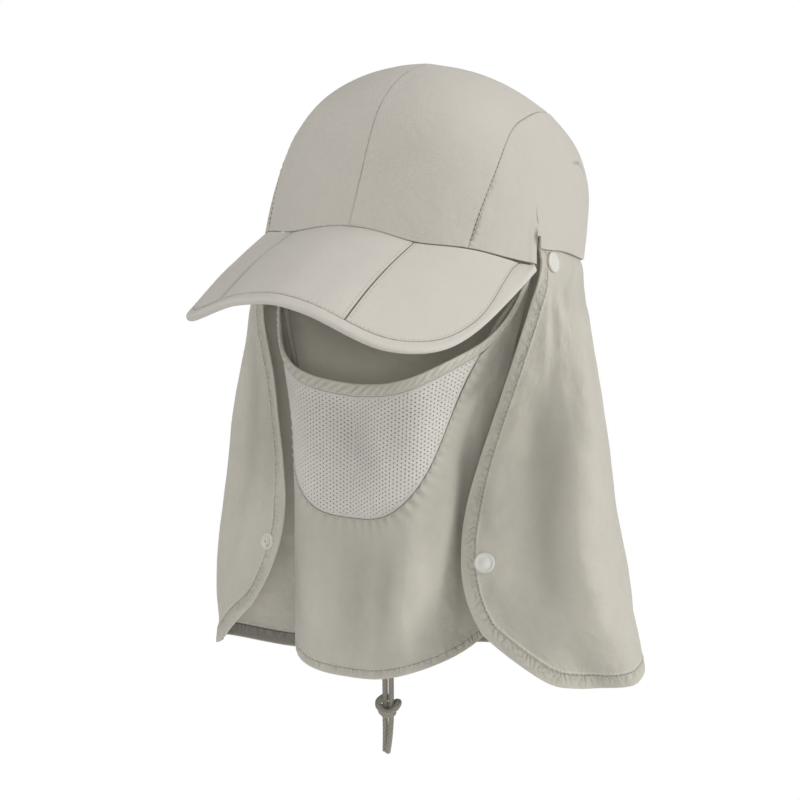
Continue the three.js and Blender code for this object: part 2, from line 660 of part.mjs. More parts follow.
// Sets a fastening on the cape's outer face, its axis along the cloth's normal
function onCape(mesh, place, side) {
  const [stepAlong, stepDown] = [0.02, 2];
  const at = capePoint(side * place.along, place.height);
  const across = capePoint(side * (place.along - stepAlong), place.height).sub(at);
  const down = capePoint(side * place.along, place.height - stepDown).sub(at);
  const normal = across.cross(down).normalize();
  if (normal.x * side < 0) normal.negate();
  mesh.position.copy(at).addScaledVector(normal, CAPE_CLOTH / 2 + place.lift);
  mesh.quaternion.setFromUnitVectors(new THREE.Vector3(0, 1, 0), normal);
  return mesh;
}

// Chin cord
function tube(points) {
  const path = new THREE.CatmullRomCurve3(points, false, 'centripetal');
  const section = new THREE.Shape();
  for (let i = 0; i < CORD.sides; i++) {
    const turn = (2 * Math.PI * (i + 0.5)) / CORD.sides;
    const x = (CORD.diameter / 2) * Math.cos(turn);
    const y = (CORD.diameter / 2) * Math.sin(turn);
    if (i === 0) section.moveTo(x, y);
    else section.lineTo(x, y);
  }
  section.closePath();
  const stepLength = CORD.diameter * CORD.diametersPerStep;
  const steps = Math.max(CORD.leastSteps, Math.round(path.getLength() / stepLength));
  return new THREE.ExtrudeGeometry(section, { steps, bevelEnabled: false, extrudePath: path });
}

function chinStrand(side) {
  return tube(CORD_ROUTE.map(({ x, y, z }) => new THREE.Vector3(side * x, y, z)));
}

function cordTail(side) {
  const points = evenly(0, 1, TAIL.points).map((t) => {
    const x = side * (TAIL.x - TAIL.draw * t * t) - TAIL.lean * t * t;
    return new THREE.Vector3(x, KNOT.y - side * TAIL.turn * t, lerp(TAIL.top, TAIL.bottom, t));
  });
  return tube(points);
}

function cordKnot() {
  const profile = evenly(-90, 90, KNOT.rings).map((latitude) => {
    const turn = radians(latitude);
    return new THREE.Vector2(Math.cos(turn) ** KNOT_SQUARENESS, Math.sin(turn));
  });
  profile[0].x = 0;
  profile[profile.length - 1].x = 0;
  const geometry = new THREE.LatheGeometry(profile, KNOT.sides);
  geometry.rotateX(Math.PI / 2);
  geometry.scale(KNOT.halfWidth, KNOT.halfDepth, KNOT.halfHeight);
  return geometry;
}

function finish(colour, roughness, metalness = 0) {
  return new THREE.MeshStandardMaterial({ color: colour, roughness, metalness });
}

const FINISHES = {
  crown: finish(COLOURS.crown, 0.85),
  brim: finish(COLOURS.brim, 0.8),
  cape: finish(COLOURS.cape, 0.85),
  veil: finish(COLOURS.veil, 0.9),
  mesh: finish(COLOURS.mesh, 0.95),
  snap: finish(COLOURS.snap, 0.4),
  cord: finish(COLOURS.cord, 0.8),
};

function piece(name, geometry, material) {
  const mesh = new THREE.Mesh(geometry, material);
  mesh.name = name;
  return mesh;
}

function crown() {
  const group = new THREE.Group();
  group.add(
    piece('crown_front_left', frontPanel(false), FINISHES.crown),
    piece('crown_front_right', frontPanel(true), FINISHES.crown),
    piece('crown_side_left', sidePanel(false), FINISHES.crown),
    piece('crown_side_right', sidePanel(true), FINISHES.crown),
    piece('crown_back', backPanel(), FINISHES.crown),
  );
  return group;
}

function brim() {
  const group = new THREE.Group();
  group.add(
    piece('brim_panel_center', brimPanel(middleColumns), FINISHES.brim),
    piece('brim_panel_left', brimPanel(wingColumns), FINISHES.brim),
    piece('brim_panel_right', brimPanel(mirrored(wingColumns)), FINISHES.brim),
    piece('brim_edge_band', brimBand(), FINISHES.brim),
  );
  return group;
}

function veil() {
  const group = new THREE.Group();
  group.add(
    piece('veil_band', veilBand(), FINISHES.veil),
    piece('veil_mesh', veilMesh(), FINISHES.mesh),
    piece('veil_body', veilBody(), FINISHES.veil),
  );
  return group;
}

function fastenings() {
  const group = new THREE.Group();
  group.add(
    onCape(piece('snap_top_left', latheOf(SNAP_CAP), FINISHES.snap), TOP_SNAP, 1),
    onCape(piece('snap_top_right', latheOf(SNAP_CAP), FINISHES.snap), TOP_SNAP, -1),
    onCape(piece('snap_cap_left', latheOf(SNAP_CAP), FINISHES.snap), CORNER_SNAP, 1),
    onCape(piece('snap_stud_right', latheOf(SNAP_STUD), FINISHES.snap), CORNER_STUD, -1),
  );
  return group;
}

function chinCord() {
  const group = new THREE.Group();
  const knot = piece('cord_knot', cordKnot(), FINISHES.cord);
  knot.position.set(0, KNOT.y, KNOT.z);
  group.add(
    piece('chin_cord_left', chinStrand(1), FINISHES.cord),
    piece('chin_cord_right', chinStrand(-1), FINISHES.cord),
    piece('cord_tail_left', cordTail(1), FINISHES.cord),
    piece('cord_tail_right', cordTail(-1), FINISHES.cord),
    knot,
  );
  return group;
}

const cap = new THREE.Group();
cap.add(crown(), brim(), piece('neck_cape', neckCape(), FINISHES.cape), veil(), fastenings(), chinCord());

export default cap;
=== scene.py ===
"""Hiking cap with a folding brim, a neck cape, a face veil and a chin cord.

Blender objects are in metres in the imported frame: the origin is the centre of the head opening,
+Z up, the brim points to -Y and the wearer's left is +X. The sizes in the classes are millimetres.
"""
import logging
import math
from dataclasses import dataclass, field, fields
from enum import Enum
from typing import Any, Callable, Iterable, Mapping, Sequence

import bmesh
import bpy
import numpy as np
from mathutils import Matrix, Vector
from mathutils.geometry import delaunay_2d_cdt


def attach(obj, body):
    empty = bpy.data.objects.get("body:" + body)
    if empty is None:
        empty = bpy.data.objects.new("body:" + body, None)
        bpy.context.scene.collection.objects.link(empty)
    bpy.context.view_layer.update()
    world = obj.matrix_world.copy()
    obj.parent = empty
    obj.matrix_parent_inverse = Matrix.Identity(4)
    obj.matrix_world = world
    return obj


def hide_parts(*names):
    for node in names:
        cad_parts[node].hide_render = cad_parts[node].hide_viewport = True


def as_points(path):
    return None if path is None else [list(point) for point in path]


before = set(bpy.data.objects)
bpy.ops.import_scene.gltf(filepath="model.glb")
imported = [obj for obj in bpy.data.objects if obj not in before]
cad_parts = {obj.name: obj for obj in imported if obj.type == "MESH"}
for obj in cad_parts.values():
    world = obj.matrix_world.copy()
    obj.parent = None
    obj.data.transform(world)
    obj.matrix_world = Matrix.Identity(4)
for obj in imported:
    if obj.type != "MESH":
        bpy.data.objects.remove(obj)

MM = 0.001
TURN = 2 * math.pi
BODY = "root"
Array = np.ndarray
Paints = Mapping[str, bpy.types.Material]
Rows = list[tuple[Array, Array]]
log = logging.getLogger("hiking_cap")


# Curves and lines

def smooth_step(share: Array) -> Array:
    """Eases a share from 0 to 1, and holds it beyond both."""
    held = np.clip(share, 0.0, 1.0)
    return held * held * (3.0 - 2.0 * held)


def bell(distance: Array, width: float) -> Array:
    """1 at no distance, falling to almost 0 over two widths."""
    return np.exp(-(distance / width) ** 2)


def stacked(*parts: Array | float) -> Array:
    """Arrays or numbers side by side, as a last axis."""
    return np.stack(np.broadcast_arrays(*parts), axis=-1)


def signed_power(values: Array, power: float) -> Array:
    """Raises the size of each value and keeps its sign."""
    return np.sign(values) * np.abs(values) ** power


def unit(vectors: Array) -> Array:
    """Vectors of length one, along the last axis."""
    size = np.linalg.norm(vectors, axis=-1, keepdims=True)
    return vectors / np.maximum(size, 1e-12)


def arc_lengths(points: Array) -> Array:
    """Length along a chain of points up to each of them."""
    steps = np.linalg.norm(np.diff(points, axis=0), axis=1)
    return np.concatenate([[0.0], np.cumsum(steps)])


class Curve:
    """Natural cubic curve through the rows of a table, straight beyond its ends."""

    def __init__(self, rows: Sequence[Sequence[float]]) -> None:
        """Fits the curve.

        Args:
            rows: Key first, then one or more values; the keys rise or fall evenly.
        """
        table = np.asarray(sorted(rows, key=lambda row: row[0]), float)
        self.keys = table[:, 0]
        self.values = table[:, 1:]
        count = len(self.keys)
        step = np.diff(self.keys)
        slope = np.diff(self.values, axis=0) / step[:, None]
        system = np.eye(count)
        right = np.zeros_like(self.values)
        for i in range(1, count - 1):
            system[i, i - 1:i + 2] = (step[i - 1], 2 * (step[i - 1] + step[i]), step[i])
            right[i] = 3 * (slope[i] - slope[i - 1])
        self.bend = np.linalg.solve(system, right)
        self.cubic = np.diff(self.bend, axis=0) / (3 * step[:, None])
        self.tangent = slope - step[:, None] * (self.bend[1:] + 2 * self.bend[:-1]) / 3
        self.leave = slope[-1] + step[-1] * self.bend[-2] / 3

    def __call__(self, keys: Array | float) -> Array:
        """Values at the keys, with a last axis for the columns where there is more than one."""
        keys = np.asarray(keys, float)
        held = np.clip(keys, self.keys[0], self.keys[-1])
        i = np.clip(np.searchsorted(self.keys, held, side="right") - 1, 0, len(self.keys) - 2)
        t = (held - self.keys[i])[..., None]
        inside = self.values[i] + t * (self.tangent[i] + t * (self.bend[i] + t * self.cubic[i]))
        ends = np.where((keys < held)[..., None], self.tangent[0], self.leave)
        found = inside + (keys - held)[..., None] * ends
        return found[..., 0] if self.values.shape[1] == 1 else found


class Line:
    """Chain of points in space, such as a seam, with the length along it."""

    def __init__(self, points: Array) -> None:
        """Keeps the points and measures them."""
        self.points = np.asarray(points, float)
        self.along = arc_lengths(self.points)

    def nearest(self, points: Array, chunk: int = 1500) -> tuple[Array, Array]:
        """Finds how far points lie from the line, and where along it.

        Args:
            points: Any shape with a last axis of three.
            chunk: Points handled at a time.

        Returns:
            The distances, and the length along the line at the nearest place.
        """
        start = self.points[:-1]
        run = np.diff(self.points, axis=0)
        square = np.maximum((run ** 2).sum(1), 1e-12)
        step = np.diff(self.along)
        flat = points.reshape(-1, 3)
        far = np.empty(len(flat))
        place = np.empty(len(flat))
        for first in range(0, len(flat), chunk):
            part = flat[first:first + chunk]
            offset = part[:, None] - start[None]
            share = np.clip((offset * run).sum(2) / square, 0.0, 1.0)
            gap = np.linalg.norm(offset - share[..., None] * run, axis=2)
            best = gap.argmin(1)
            row = np.arange(len(part))
            far[first:first + chunk] = gap[row, best]
            place[first:first + chunk] = self.along[best] + share[row, best] * step[best]
        shape = points.shape[:-1]
        return far.reshape(shape), place.reshape(shape)


def evenly_along(line: Callable[[Array], Array], low: float, high: float, step: float,
                 fine: Sequence[float] = (), keep: Sequence[float] = ()) -> Array:
    """Values of a parameter that step evenly along a line, with finer steps at its ends.

    Args:
        line: Gives the points of the line for values of the parameter.
        low: First value.
        high: Last value.
        step: Length of a step, in millimetres.
        fine: Lengths from both ends that get a value as well.
        keep: Values that stay among the result.

    Returns:
        The rising values.
    """
    dense = np.linspace(low, high, 900)
    reach = arc_lengths(line(dense))
    count = max(2, round(reach[-1] / step))
    marks = np.linspace(0, reach[-1], count + 1)
    near = np.asarray(fine, float)
    clear = max(fine, default=0.0) + 0.4 * step
    inner = marks[(marks > clear) & (marks < reach[-1] - clear)]
    marks = np.concatenate([[0.0], near, inner, (reach[-1] - near)[::-1], [reach[-1]]])
    return np.unique(np.concatenate([np.interp(marks, reach, dense), np.asarray(keep, float)]))


def shares_over(length: float, step: float, fine: Sequence[float]) -> Array:
    """Shares from 0 to 1 that step evenly over a straight length, with finer steps at its ends."""
    return evenly_along(lambda share: stacked(share * length, 0, 0),
                        0.0, 1.0, step, fine)


def ripples(points: Array, wavelength: float, seed: int, waves: int = 7) -> Array:
    """Soft uneven waves over points, about -1 to 1, the same on each run.

    Args:
        points: Points with a last axis of three.
        wavelength: Usual distance from crest to crest.
        seed: Which waves are drawn.
        waves: How many of them are added up.

    Returns:
        The height of the waves at each point.
    """
    random = np.random.default_rng(seed)
    total = np.zeros(points.shape[:-1])
    for _ in range(waves):
        heading = random.normal(size=points.shape[-1])
        heading /= np.linalg.norm(heading)
        number = TURN / (wavelength * random.uniform(0.7, 1.5))
        total += np.sin(points @ heading * number + random.uniform(0, TURN))
    return total / math.sqrt(waves)


def between(low: Array, high: Array, shares: Array) -> Array:
    """Grid of values from one line to another, with a row for each share of the way."""
    return low[None] + (high - low)[None] * shares[:, None]


# Meshes

EDGE_STEPS = (0.03, 0.12, 0.3, 0.55, 0.9, 1.5)
ALL = slice(None)
BACKWARDS = slice(None, None, -1)


def rounded(distance: Array, radius: float) -> Array:
    """Share of a wall's half thickness near an edge that is rounded over."""
    share = np.clip(distance / radius, 0.0, 1.0)
    return np.sqrt(np.maximum(1.0 - (1.0 - share) ** 2, 0.0))


@dataclass
class Cloth:
    """Piece of cloth as a grid of points on a guiding face, with what varies over it."""

    points: Array
    normals: Array
    above: Array
    below: Array
    looks: dict[str, Array] = field(default_factory=dict)
    # Looks that differ on the inner face
    inner_looks: dict[str, Array] = field(default_factory=dict)

    @property
    def face(self) -> Array:
        """Points of the outer face."""
        return self.points + self.normals * self.above[..., None]

    @property
    def lining(self) -> Array:
        """Points of the inner face."""
        return self.points - self.normals * self.below[..., None]

    def area(self) -> float:
        """Area of the guiding face, in square metres."""
        across = self.points[1:, 1:] - self.points[:-1, :-1]
        other = self.points[1:, :-1] - self.points[:-1, 1:]
        return float(np.linalg.norm(np.cross(across, other), axis=2).sum() / 2 * MM * MM)

    def trace(self, level_field: Array, level: float, down: bool, rows: slice = ALL,
              columns: slice | Array = ALL) -> tuple[Array, Array]:
        """Follows a level line of a field over the outer face.

        Args:
            level_field: A number at each point of the grid.
            level: The value to follow.
            down: True searches each column from its first row, False each row from its first
                column.
            rows: Rows that are searched, in their order.
            columns: Columns that are searched, in their order.

        Returns:
            Points on the line and the normals there.
        """
        face, normals, values = (grid[rows][:, columns]
                                 for grid in (self.face, self.normals, level_field))
        if not down:
            face, normals, values = (np.swapaxes(a, 0, 1) for a in (face, normals, values))
        reached = values >= level
        first = reached.argmax(0)
        found = np.nonzero(reached.any(0) & (first > 0))[0]
        at = first[found]
        before, after = values[at - 1, found], values[at, found]
        share = ((level - before) / np.maximum(after - before, 1e-9))[:, None]
        start, end = face[at - 1, found], face[at, found]
        return start + share * (end - start), normals[at, found]

    def solid(self) -> tuple[Array, Array]:
        """Points and four-cornered faces of the closed wall."""
        rows, columns = self.points.shape[:2]
        count = rows * columns
        grid = np.arange(count).reshape(rows, columns)
        a, b = grid[:-1, :-1], grid[:-1, 1:]
        c, d = grid[1:, 1:], grid[1:, :-1]
        outer = stacked(a, b, c, d).reshape(-1, 4)
        inner = outer[:, ::-1] + count
        loop = np.concatenate([grid[0, :-1], grid[:-1, -1], grid[-1, :0:-1], grid[:0:-1, 0]])
        after = np.roll(loop, -1)
        rim = stacked(after, loop, loop + count, after + count)
        side = np.cross(self.points[1:, 1:] - self.points[:-1, :-1],
                        self.points[1:, :-1] - self.points[:-1, 1:])
        faces = np.concatenate([outer, inner, rim])
        if float((side * self.normals[:-1, :-1]).sum()) < 0:
            faces = faces[:, ::-1]
        vertices = np.concatenate([self.face.reshape(-1, 3), self.lining.reshape(-1, 3)])
        return vertices, faces


class Piece:
    """Mesh object of the cap that rides on its body."""

    def __init__(self, name: str, vertices: Array, faces: Sequence[Sequence[int]],
                 looks: Mapping[str, Array] | None = None, crisp: float = 50.0) -> None:
        """Makes the object.

        Args:
            name: Name of the object.
            vertices: Points in millimetres.
            faces: Corners of each face.
            looks: What varies over the points: numbers, or vectors of three.
            crisp: Angle in degrees from which an edge isn't smoothed over.
        """
        mesh = bpy.data.meshes.new(name)
        mesh.from_pydata(np.asarray(vertices) * MM, [], faces)
        for key, values in (looks or {}).items():
            kind = "FLOAT_VECTOR" if values.shape[-1] == 3 and values.ndim == 2 else "FLOAT"
            layer = mesh.attributes.new(key, kind, "POINT")
            member = "vector" if kind == "FLOAT_VECTOR" else "value"
            layer.data.foreach_set(member, np.ascontiguousarray(values, np.float32).ravel())
        work = bmesh.new()
        work.from_mesh(mesh)
        bmesh.ops.remove_doubles(work, verts=work.verts, dist=2e-6)
        bmesh.ops.dissolve_degenerate(work, edges=work.edges, dist=1e-7)
        work.to_mesh(mesh)
        work.free()
        mesh.shade_smooth()
        mesh.set_sharp_from_angle(angle=math.radians(crisp))
        self.object = bpy.data.objects.new(name, mesh)
        bpy.context.scene.collection.objects.link(self.object)
        self.triangles = sum(len(face.vertices) - 2 for face in mesh.polygons)

    @classmethod
    def of_cloth(cls, name: str, cloth: Cloth, crisp: float = 50.0) -> "Piece":
        """Closed wall of a cloth with its looks on both faces."""
        vertices, faces = cloth.solid()
        looks = {}
        for key, values in cloth.looks.items():
            faces_of = (values, cloth.inner_looks.get(key, values))
            looks[key] = np.concatenate([value.reshape(-1, 3) if value.ndim == 3 else value.ravel()
                                         for value in faces_of])
        return cls(name, vertices, faces, looks, crisp)

    def dress(self, material: bpy.types.Material, slot: str, replaces: Sequence[str] = ()) -> "Piece":
        """Gives the piece its finish and its place in the frame.

        Args:
            material: Finish of the whole piece.
            slot: Name of a material slot; not used.
            replaces: Nodes that the piece stands for.

        Returns:
            The piece itself.
        """
        self.object.data.materials.append(material)
        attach(self.object, BODY)
        if replaces:
            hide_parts(*replaces)
        log.info("%s: %d triangles", self.object.name, self.triangles)
        return self


@dataclass(frozen=True)
class Stitch:
    """Stitch of a row: one length of thread between two needle holes."""

    length: float = 1.6
    gap: float = 1.0
    radius: float = 0.2
    sides: int = 6

    def template(self) -> tuple[Array, Array]:
        """Points and faces of one stitch that lies along X with Z off the cloth."""
        profile = ((-1.0, 0.25, -0.9), (-0.8, 0.75, -0.15), (-0.35, 1.0, 0.35),
                   (0.35, 1.0, 0.35), (0.8, 0.75, -0.15), (1.0, 0.25, -0.9))
        turns = np.arange(self.sides) * TURN / self.sides
        rings = []
        for along, width, lift in profile:
            rings.append(stacked(along * self.length / 2, self.radius * width * np.cos(turns),
                                 self.radius * (width * np.sin(turns) + lift)))
        faces = []
        for k in range(len(profile) - 1):
            for i in range(self.sides):
                j = (i + 1) % self.sides
                base = k * self.sides
                faces.append((base + i, base + j, base + self.sides + j, base + self.sides + i))
        return np.concatenate(rings), np.asarray(faces)

    def row(self, points: Array, normals: Array, start: float = 0.0) -> tuple[Array, Array]:
        """Stitches along a chain of points.

        Args:
            points: Points on the cloth.
            normals: Normals of the cloth there.
            start: Length left free before the first stitch.

        Returns:
            Points and faces of all the stitches of the row.
        """
        along = arc_lengths(points)
        pitch = self.length + self.gap
        middles = np.arange(start + pitch / 2, along[-1] - pitch / 2, pitch)
        ends = [np.stack([np.interp(middles + side * self.length / 2, along, points[:, c])
                          for c in range(3)], axis=1) for side in (-1, 1)]
        lift = unit(np.stack([np.interp(middles, along, normals[:, c]) for c in range(3)], axis=1))
        heading = unit(ends[1] - ends[0])
        side = unit(np.cross(lift, heading))
        lift = np.cross(heading, side)
        shape, faces = self.template()
        frames = np.stack([heading, side, lift], axis=1)
        placed = np.einsum("vk,skx->svx", shape, frames) + ((ends[0] + ends[1]) / 2)[:, None]
        offsets = np.arange(len(middles))[:, None, None] * len(shape)
        return placed.reshape(-1, 3), (faces[None] + offsets).reshape(-1, 4)


def together(parts: Iterable[tuple[Array, Array]]) -> tuple[Array, Array]:
    """Joins lists of points and faces into one."""
    vertices, faces, count = [], [], 0
    for points, corners in parts:
        vertices.append(points)
        faces.append(corners + count)
        count += len(points)
    return np.concatenate(vertices), np.concatenate(faces)


def lathe(profile: Sequence[tuple[float, float]], sides: int) -> tuple[Array, list[list[int]]]:
    """Turned shape about Z.

    Args:
        profile: Radius and height of each ring, from the axis at the foot to the axis on top.
        sides: How many sides it has.

    Returns:
        Its points and faces.
    """
    turns = np.arange(sides) * TURN / sides
    rings = [stacked(r * np.cos(turns), r * np.sin(turns), z) for r, z in profile]
    faces = []
    for k in range(len(profile) - 1):
        for i in range(sides):
            j = (i + 1) % sides
            faces.append([k * sides + i, k * sides + j, (k + 1) * sides + j, (k + 1) * sides + i])
    return np.concatenate(rings), faces


def tube(path: Array, radii: Array, sides: int, twist: Array | None = None) -> tuple[Array, list, Array]:
    """Tube round a path whose section keeps its heading.

    Args:
        path: Points of the centreline.
        radii: Radius for each point and side, or one for each point.
        sides: How many sides the section has.
        twist: Turn of the section at each point, in radians.

    Returns:
        Its points, its faces and a vector of length along and turn for each point.
    """
    along = arc_lengths(path)
    heading = unit(np.gradient(path, axis=0))
    side = unit(np.cross(heading, (0.0, 1.0, 0.15)))
    other = np.cross(heading, side)
    turns = np.arange(sides) * TURN / sides
    turns = np.broadcast_to(turns, (len(path), sides))
    if twist is not None:
        turns = turns + twist[:, None]
    radii = np.broadcast_to(radii if np.ndim(radii) == 2 else np.asarray(radii)[:, None],
                            (len(path), sides))
    rings = path[:, None] + radii[..., None] * (np.cos(turns)[..., None] * side[:, None]
                                               + np.sin(turns)[..., None] * other[:, None])
    faces = [[k * sides + i, k * sides + (i + 1) % sides,
              (k + 1) * sides + (i + 1) % sides, (k + 1) * sides + i]
             for k in range(len(path) - 1) for i in range(sides)]
    faces.append(list(range(sides))[::-1])
    faces.append([(len(path) - 1) * sides + i for i in range(sides)])
    grain = stacked(along[:, None], turns, 0.0)
    return rings.reshape(-1, 3), faces, grain.reshape(-1, 3)


# Finishes

class Wire:
    """Output of a node, on which sums are written as Python expressions."""

    def __init__(self, recipe: "Recipe", socket: bpy.types.NodeSocket) -> None:
        """Wraps a socket of a recipe's node tree."""
        self.recipe = recipe
        self.socket = socket

    def _sum(self, operation: str, *values: Any) -> "Wire":
        """Adds the Math node of an operation on one or two values."""
        return self.recipe.wire("Math", {"operation": operation}, dict(enumerate(values)))

    def __add__(self, other: Any) -> "Wire":
        """Sum with a number or another wire."""
        return self._sum("ADD", self, other)

    def __sub__(self, other: Any) -> "Wire":
        """Difference from a number or another wire."""
        return self._sum("SUBTRACT", self, other)

    def __rsub__(self, other: Any) -> "Wire":
        """A number less this wire."""
        return self._sum("SUBTRACT", other, self)

    def __mul__(self, other: Any) -> "Wire":
        """Product with a number or another wire."""
        return self._sum("MULTIPLY", self, other)

    __radd__ = __add__
    __rmul__ = __mul__

    def __pow__(self, power: float) -> "Wire":
        """Power of the wire."""
        return self._sum("POWER", self, power)

    def near(self, place: float, width: float) -> "Wire":
        """1 where the wire is at a place, falling to 0 within a few widths."""
        off = (self - place) * (1.0 / width)
        return (off * off + 1.0) ** -2.0

    def wave(self) -> "Wire":
        """Sine of the wire."""
        return self._sum("SINE", self)

    def size(self) -> "Wire":
        """Size of the wire without its sign."""
        return self._sum("ABSOLUTE", self)


class Recipe:
    """Nodes of a material, or of the sky, that are added one by one."""

    def __init__(self, owner: bpy.types.Material | bpy.types.World) -> None:
        """Starts with no nodes."""
        self.owner = owner
        owner.use_nodes = True
        self.tree = owner.node_tree
        self.tree.nodes.clear()

    @classmethod
    def material(cls, name: str) -> "Recipe":
        """Recipe of a new material."""
        return cls(bpy.data.materials.new(name))

    def node(self, kind: str, settings: Mapping[str, Any] | None = None,
             sockets: Mapping[str | int, Any] | None = None) -> bpy.types.Node:
        """Adds a node.

        Args:
            kind: Its type without the leading words.
            settings: Its own settings, set first; stops holds the stops of a ramp.
            sockets: Values or wires of its inputs, by name or number.

        Returns:
            The new node.
        """
        made = self.tree.nodes.new("ShaderNode" + kind)
        for key, value in (settings or {}).items():
            if key == "stops":
                for index, (place, colour) in enumerate(value):
                    stops = made.color_ramp.elements
                    stop = stops[index] if index < 2 else stops.new(place)
                    stop.position, stop.color = place, colour
            else:
                setattr(made, key, value)
        for key, value in (sockets or {}).items():
            if isinstance(value, Wire):
                self.tree.links.new(value.socket, made.inputs[key])
            else:
                made.inputs[key].default_value = value
        return made

    def wire(self, kind: str, settings: Mapping[str, Any] | None = None,
             sockets: Mapping[str | int, Any] | None = None, output: str | int = 0) -> Wire:
        """Adds a node and gives the wire of one of its outputs."""
        return Wire(self, self.node(kind, settings, sockets).outputs[output])

    def look(self, name: str, output: str) -> Wire:
        """What a piece's mesh says of itself under a name."""
        return self.wire("Attribute", {"attribute_name": name}, {}, output)

    def noise(self, vector: Wire, scale: float, detail: float = 2.0, roughness: float = 0.5) -> Wire:
        """Cloudy pattern from 0 to 1 over a vector."""
        return self.wire("TexNoise", {"noise_dimensions": "3D"},
                         {"Vector": vector, "Scale": scale, "Detail": detail,
                          "Roughness": roughness}, "Fac")

    def stretched(self, vector: Wire, factors: tuple[float, float, float]) -> Wire:
        """The vector with each of its parts multiplied."""
        return self.wire("VectorMath", {"operation": "MULTIPLY"}, {0: vector, 1: factors})

    def blend(self, share: Wire, first: Any, second: Any) -> Wire:
        """Colour between two others."""
        return self.wire("Mix", {"data_type": "RGBA", "clamp_factor": True},
                         {0: share, 6: first, 7: second}, 2)

    def bump(self, height: Wire, distance: float, strength: float) -> Wire:
        """Normal of a surface with a height, where a height of 1 is a distance in metres."""
        return self.wire("Bump", None, {"Strength": strength, "Distance": distance, "Height": height},
                         "Normal")

    def surface(self, sockets: Mapping[str, Any]) -> bpy.types.Material:
        """Ends a material with the shader that has these sockets."""
        return self.finish(self.node("BsdfPrincipled", None, sockets))

    def finish(self, shader: bpy.types.Node, output: str = "OutputMaterial") -> Any:
        """Leads a shader to the output and gives what it belongs to."""
        self.node(output, None, {"Surface": Wire(self, shader.outputs[0])})
        return self.owner


Colour = tuple[float, float, float]


def solid_colour(colour: Colour, gain: float = 1.0) -> tuple[float, float, float, float]:
    """Colour for a socket, lighter or darker by a gain."""
    return (colour[0] * gain, colour[1] * gain, colour[2] * gain, 1.0)


class Weave(Enum):
    """How the threads of a cloth cross."""

    PLAIN = "plain"
    KNIT = "knit"


@dataclass(frozen=True)
class ClothFinish:
    """Woven or knitted cloth, coloured in the piece."""

    name: str
    colour: Colour
    weave: Weave = Weave.PLAIN
    pitch: float = 0.55
    relief: float = 0.045
    crumple: float = 0.16
    crumple_size: float = 16.0
    mottle: float = 0.07
    roughness: float = 0.78
    sheen: float = 0.12

    def threads(self, recipe: Recipe, grain: Wire) -> Wire:
        """Height of the weave, about -1 to 1.

        Args:
            recipe: Material that gets the nodes.
            grain: Place on the cloth in millimetres, across and along its threads.

        Returns:
            The height.
        """
        parts = recipe.node("SeparateXYZ", None, {0: grain})
        across, along = Wire(recipe, parts.outputs[0]), Wire(recipe, parts.outputs[1])
        number = TURN / (2 * self.pitch)
        if self.weave is Weave.KNIT:
            return (across * number).wave().size() + (along * (2 * number)).wave() * 0.6
        return (across * number).wave() * (along * number).wave()

    def make(self) -> bpy.types.Material:
        """Builds the material."""
        recipe = Recipe.material(self.name)
        grain = recipe.look("grain", "Vector")
        threads = self.threads(recipe, grain)
        slubs = recipe.noise(recipe.stretched(grain, (1.6, 0.08, 1.0)), 1.0, 2.0)
        picks = recipe.noise(recipe.stretched(grain, (0.08, 1.6, 1.0)), 1.0, 2.0)
        clouds = (recipe.noise(grain, 0.03, 4.0, 0.6) - 0.5) * 2.6 + 0.5
        patches = (recipe.noise(recipe.stretched(grain, (1.0, 0.5, 1.0)), 0.13, 3.0) - 0.5) * 2.2 + 0.5
        # The seam look darkens seam lines and also brings painted shade in fold hollows, gathers, the
        # slit's hollow and the pinch; the wear look lightens worn edges and also brings painted
        # highlights on fold crests.
        seam = recipe.look("seam", "Fac")
        wear = recipe.look("wear", "Fac")
        hem = recipe.node("SeparateXYZ", None, {0: recipe.look("hem", "Vector")})
        inward, place = Wire(recipe, hem.outputs[0]), Wire(recipe, hem.outputs[1])
        # Darkening along the stitched row is painted shade in its groove; the lighter ridge beside it is
        # a painted highlight.
        row = inward.near(1.0, 0.05)
        ridge = inward.near(1.15, 0.06)
        puckers = (place * (TURN / 4.6) + patches * 12.0).wave() * inward.near(0.8, 0.45)
        mix = (clouds * 0.5 + patches * 0.2) + (slubs + picks) * 0.14 + threads * 0.05
        plain = recipe.blend(mix, solid_colour(self.colour, 1 - self.mottle),
                             solid_colour(self.colour, 1 + self.mottle))
        dark_seams_and_painted_shade = recipe.blend(seam * 0.35 + row * 0.75 + puckers * 0.06, plain,
                             solid_colour(self.colour, 0.25))
        # worn adds the lighter worn edges and the painted highlights on crests and ridges.
        worn = recipe.blend(wear * 0.4 + ridge * 0.7, dark_seams_and_painted_shade, solid_colour(self.colour, 1.3))
        rough = (clouds * 0.08 + patches * 0.05) + threads * 0.03 + (self.roughness - 0.065)
        crumple = recipe.noise(grain, 1.0 / self.crumple_size, 3.0, 0.45)
        height = (threads * self.relief + (slubs + picks) * (self.relief * 0.9)) \
            + crumple * self.crumple + puckers * 0.35 + ridge * 0.25 - row * 0.3
        return recipe.surface({
            "Base Color": worn, "Roughness": rough, "Normal": recipe.bump(height, MM, 1.0),
            "Sheen Weight": self.sheen, "Sheen Roughness": 0.5, "Specular IOR Level": 0.25,
        })


@dataclass(frozen=True)
class ThreadFinish:
    """Sewing thread, a twisted yarn with a slight gloss."""

    name: str
    colour: Colour
    roughness: float = 0.6

    def make(self) -> bpy.types.Material:
        """Builds the material."""
        recipe = Recipe.material(self.name)
        place = recipe.wire("TexCoord", None, None, "Object")
        strands = recipe.noise(place, 900.0, 1.0)
        colour = recipe.blend(strands, solid_colour(self.colour, 0.86), solid_colour(self.colour, 1.1))
        return recipe.surface({
            "Base Color": colour, "Roughness": strands * 0.15 + (self.roughness - 0.07),
            "Normal": recipe.bump(strands, 0.1 * MM, 0.6), "Sheen Weight": 0.2,
            "Specular IOR Level": 0.3,
        })


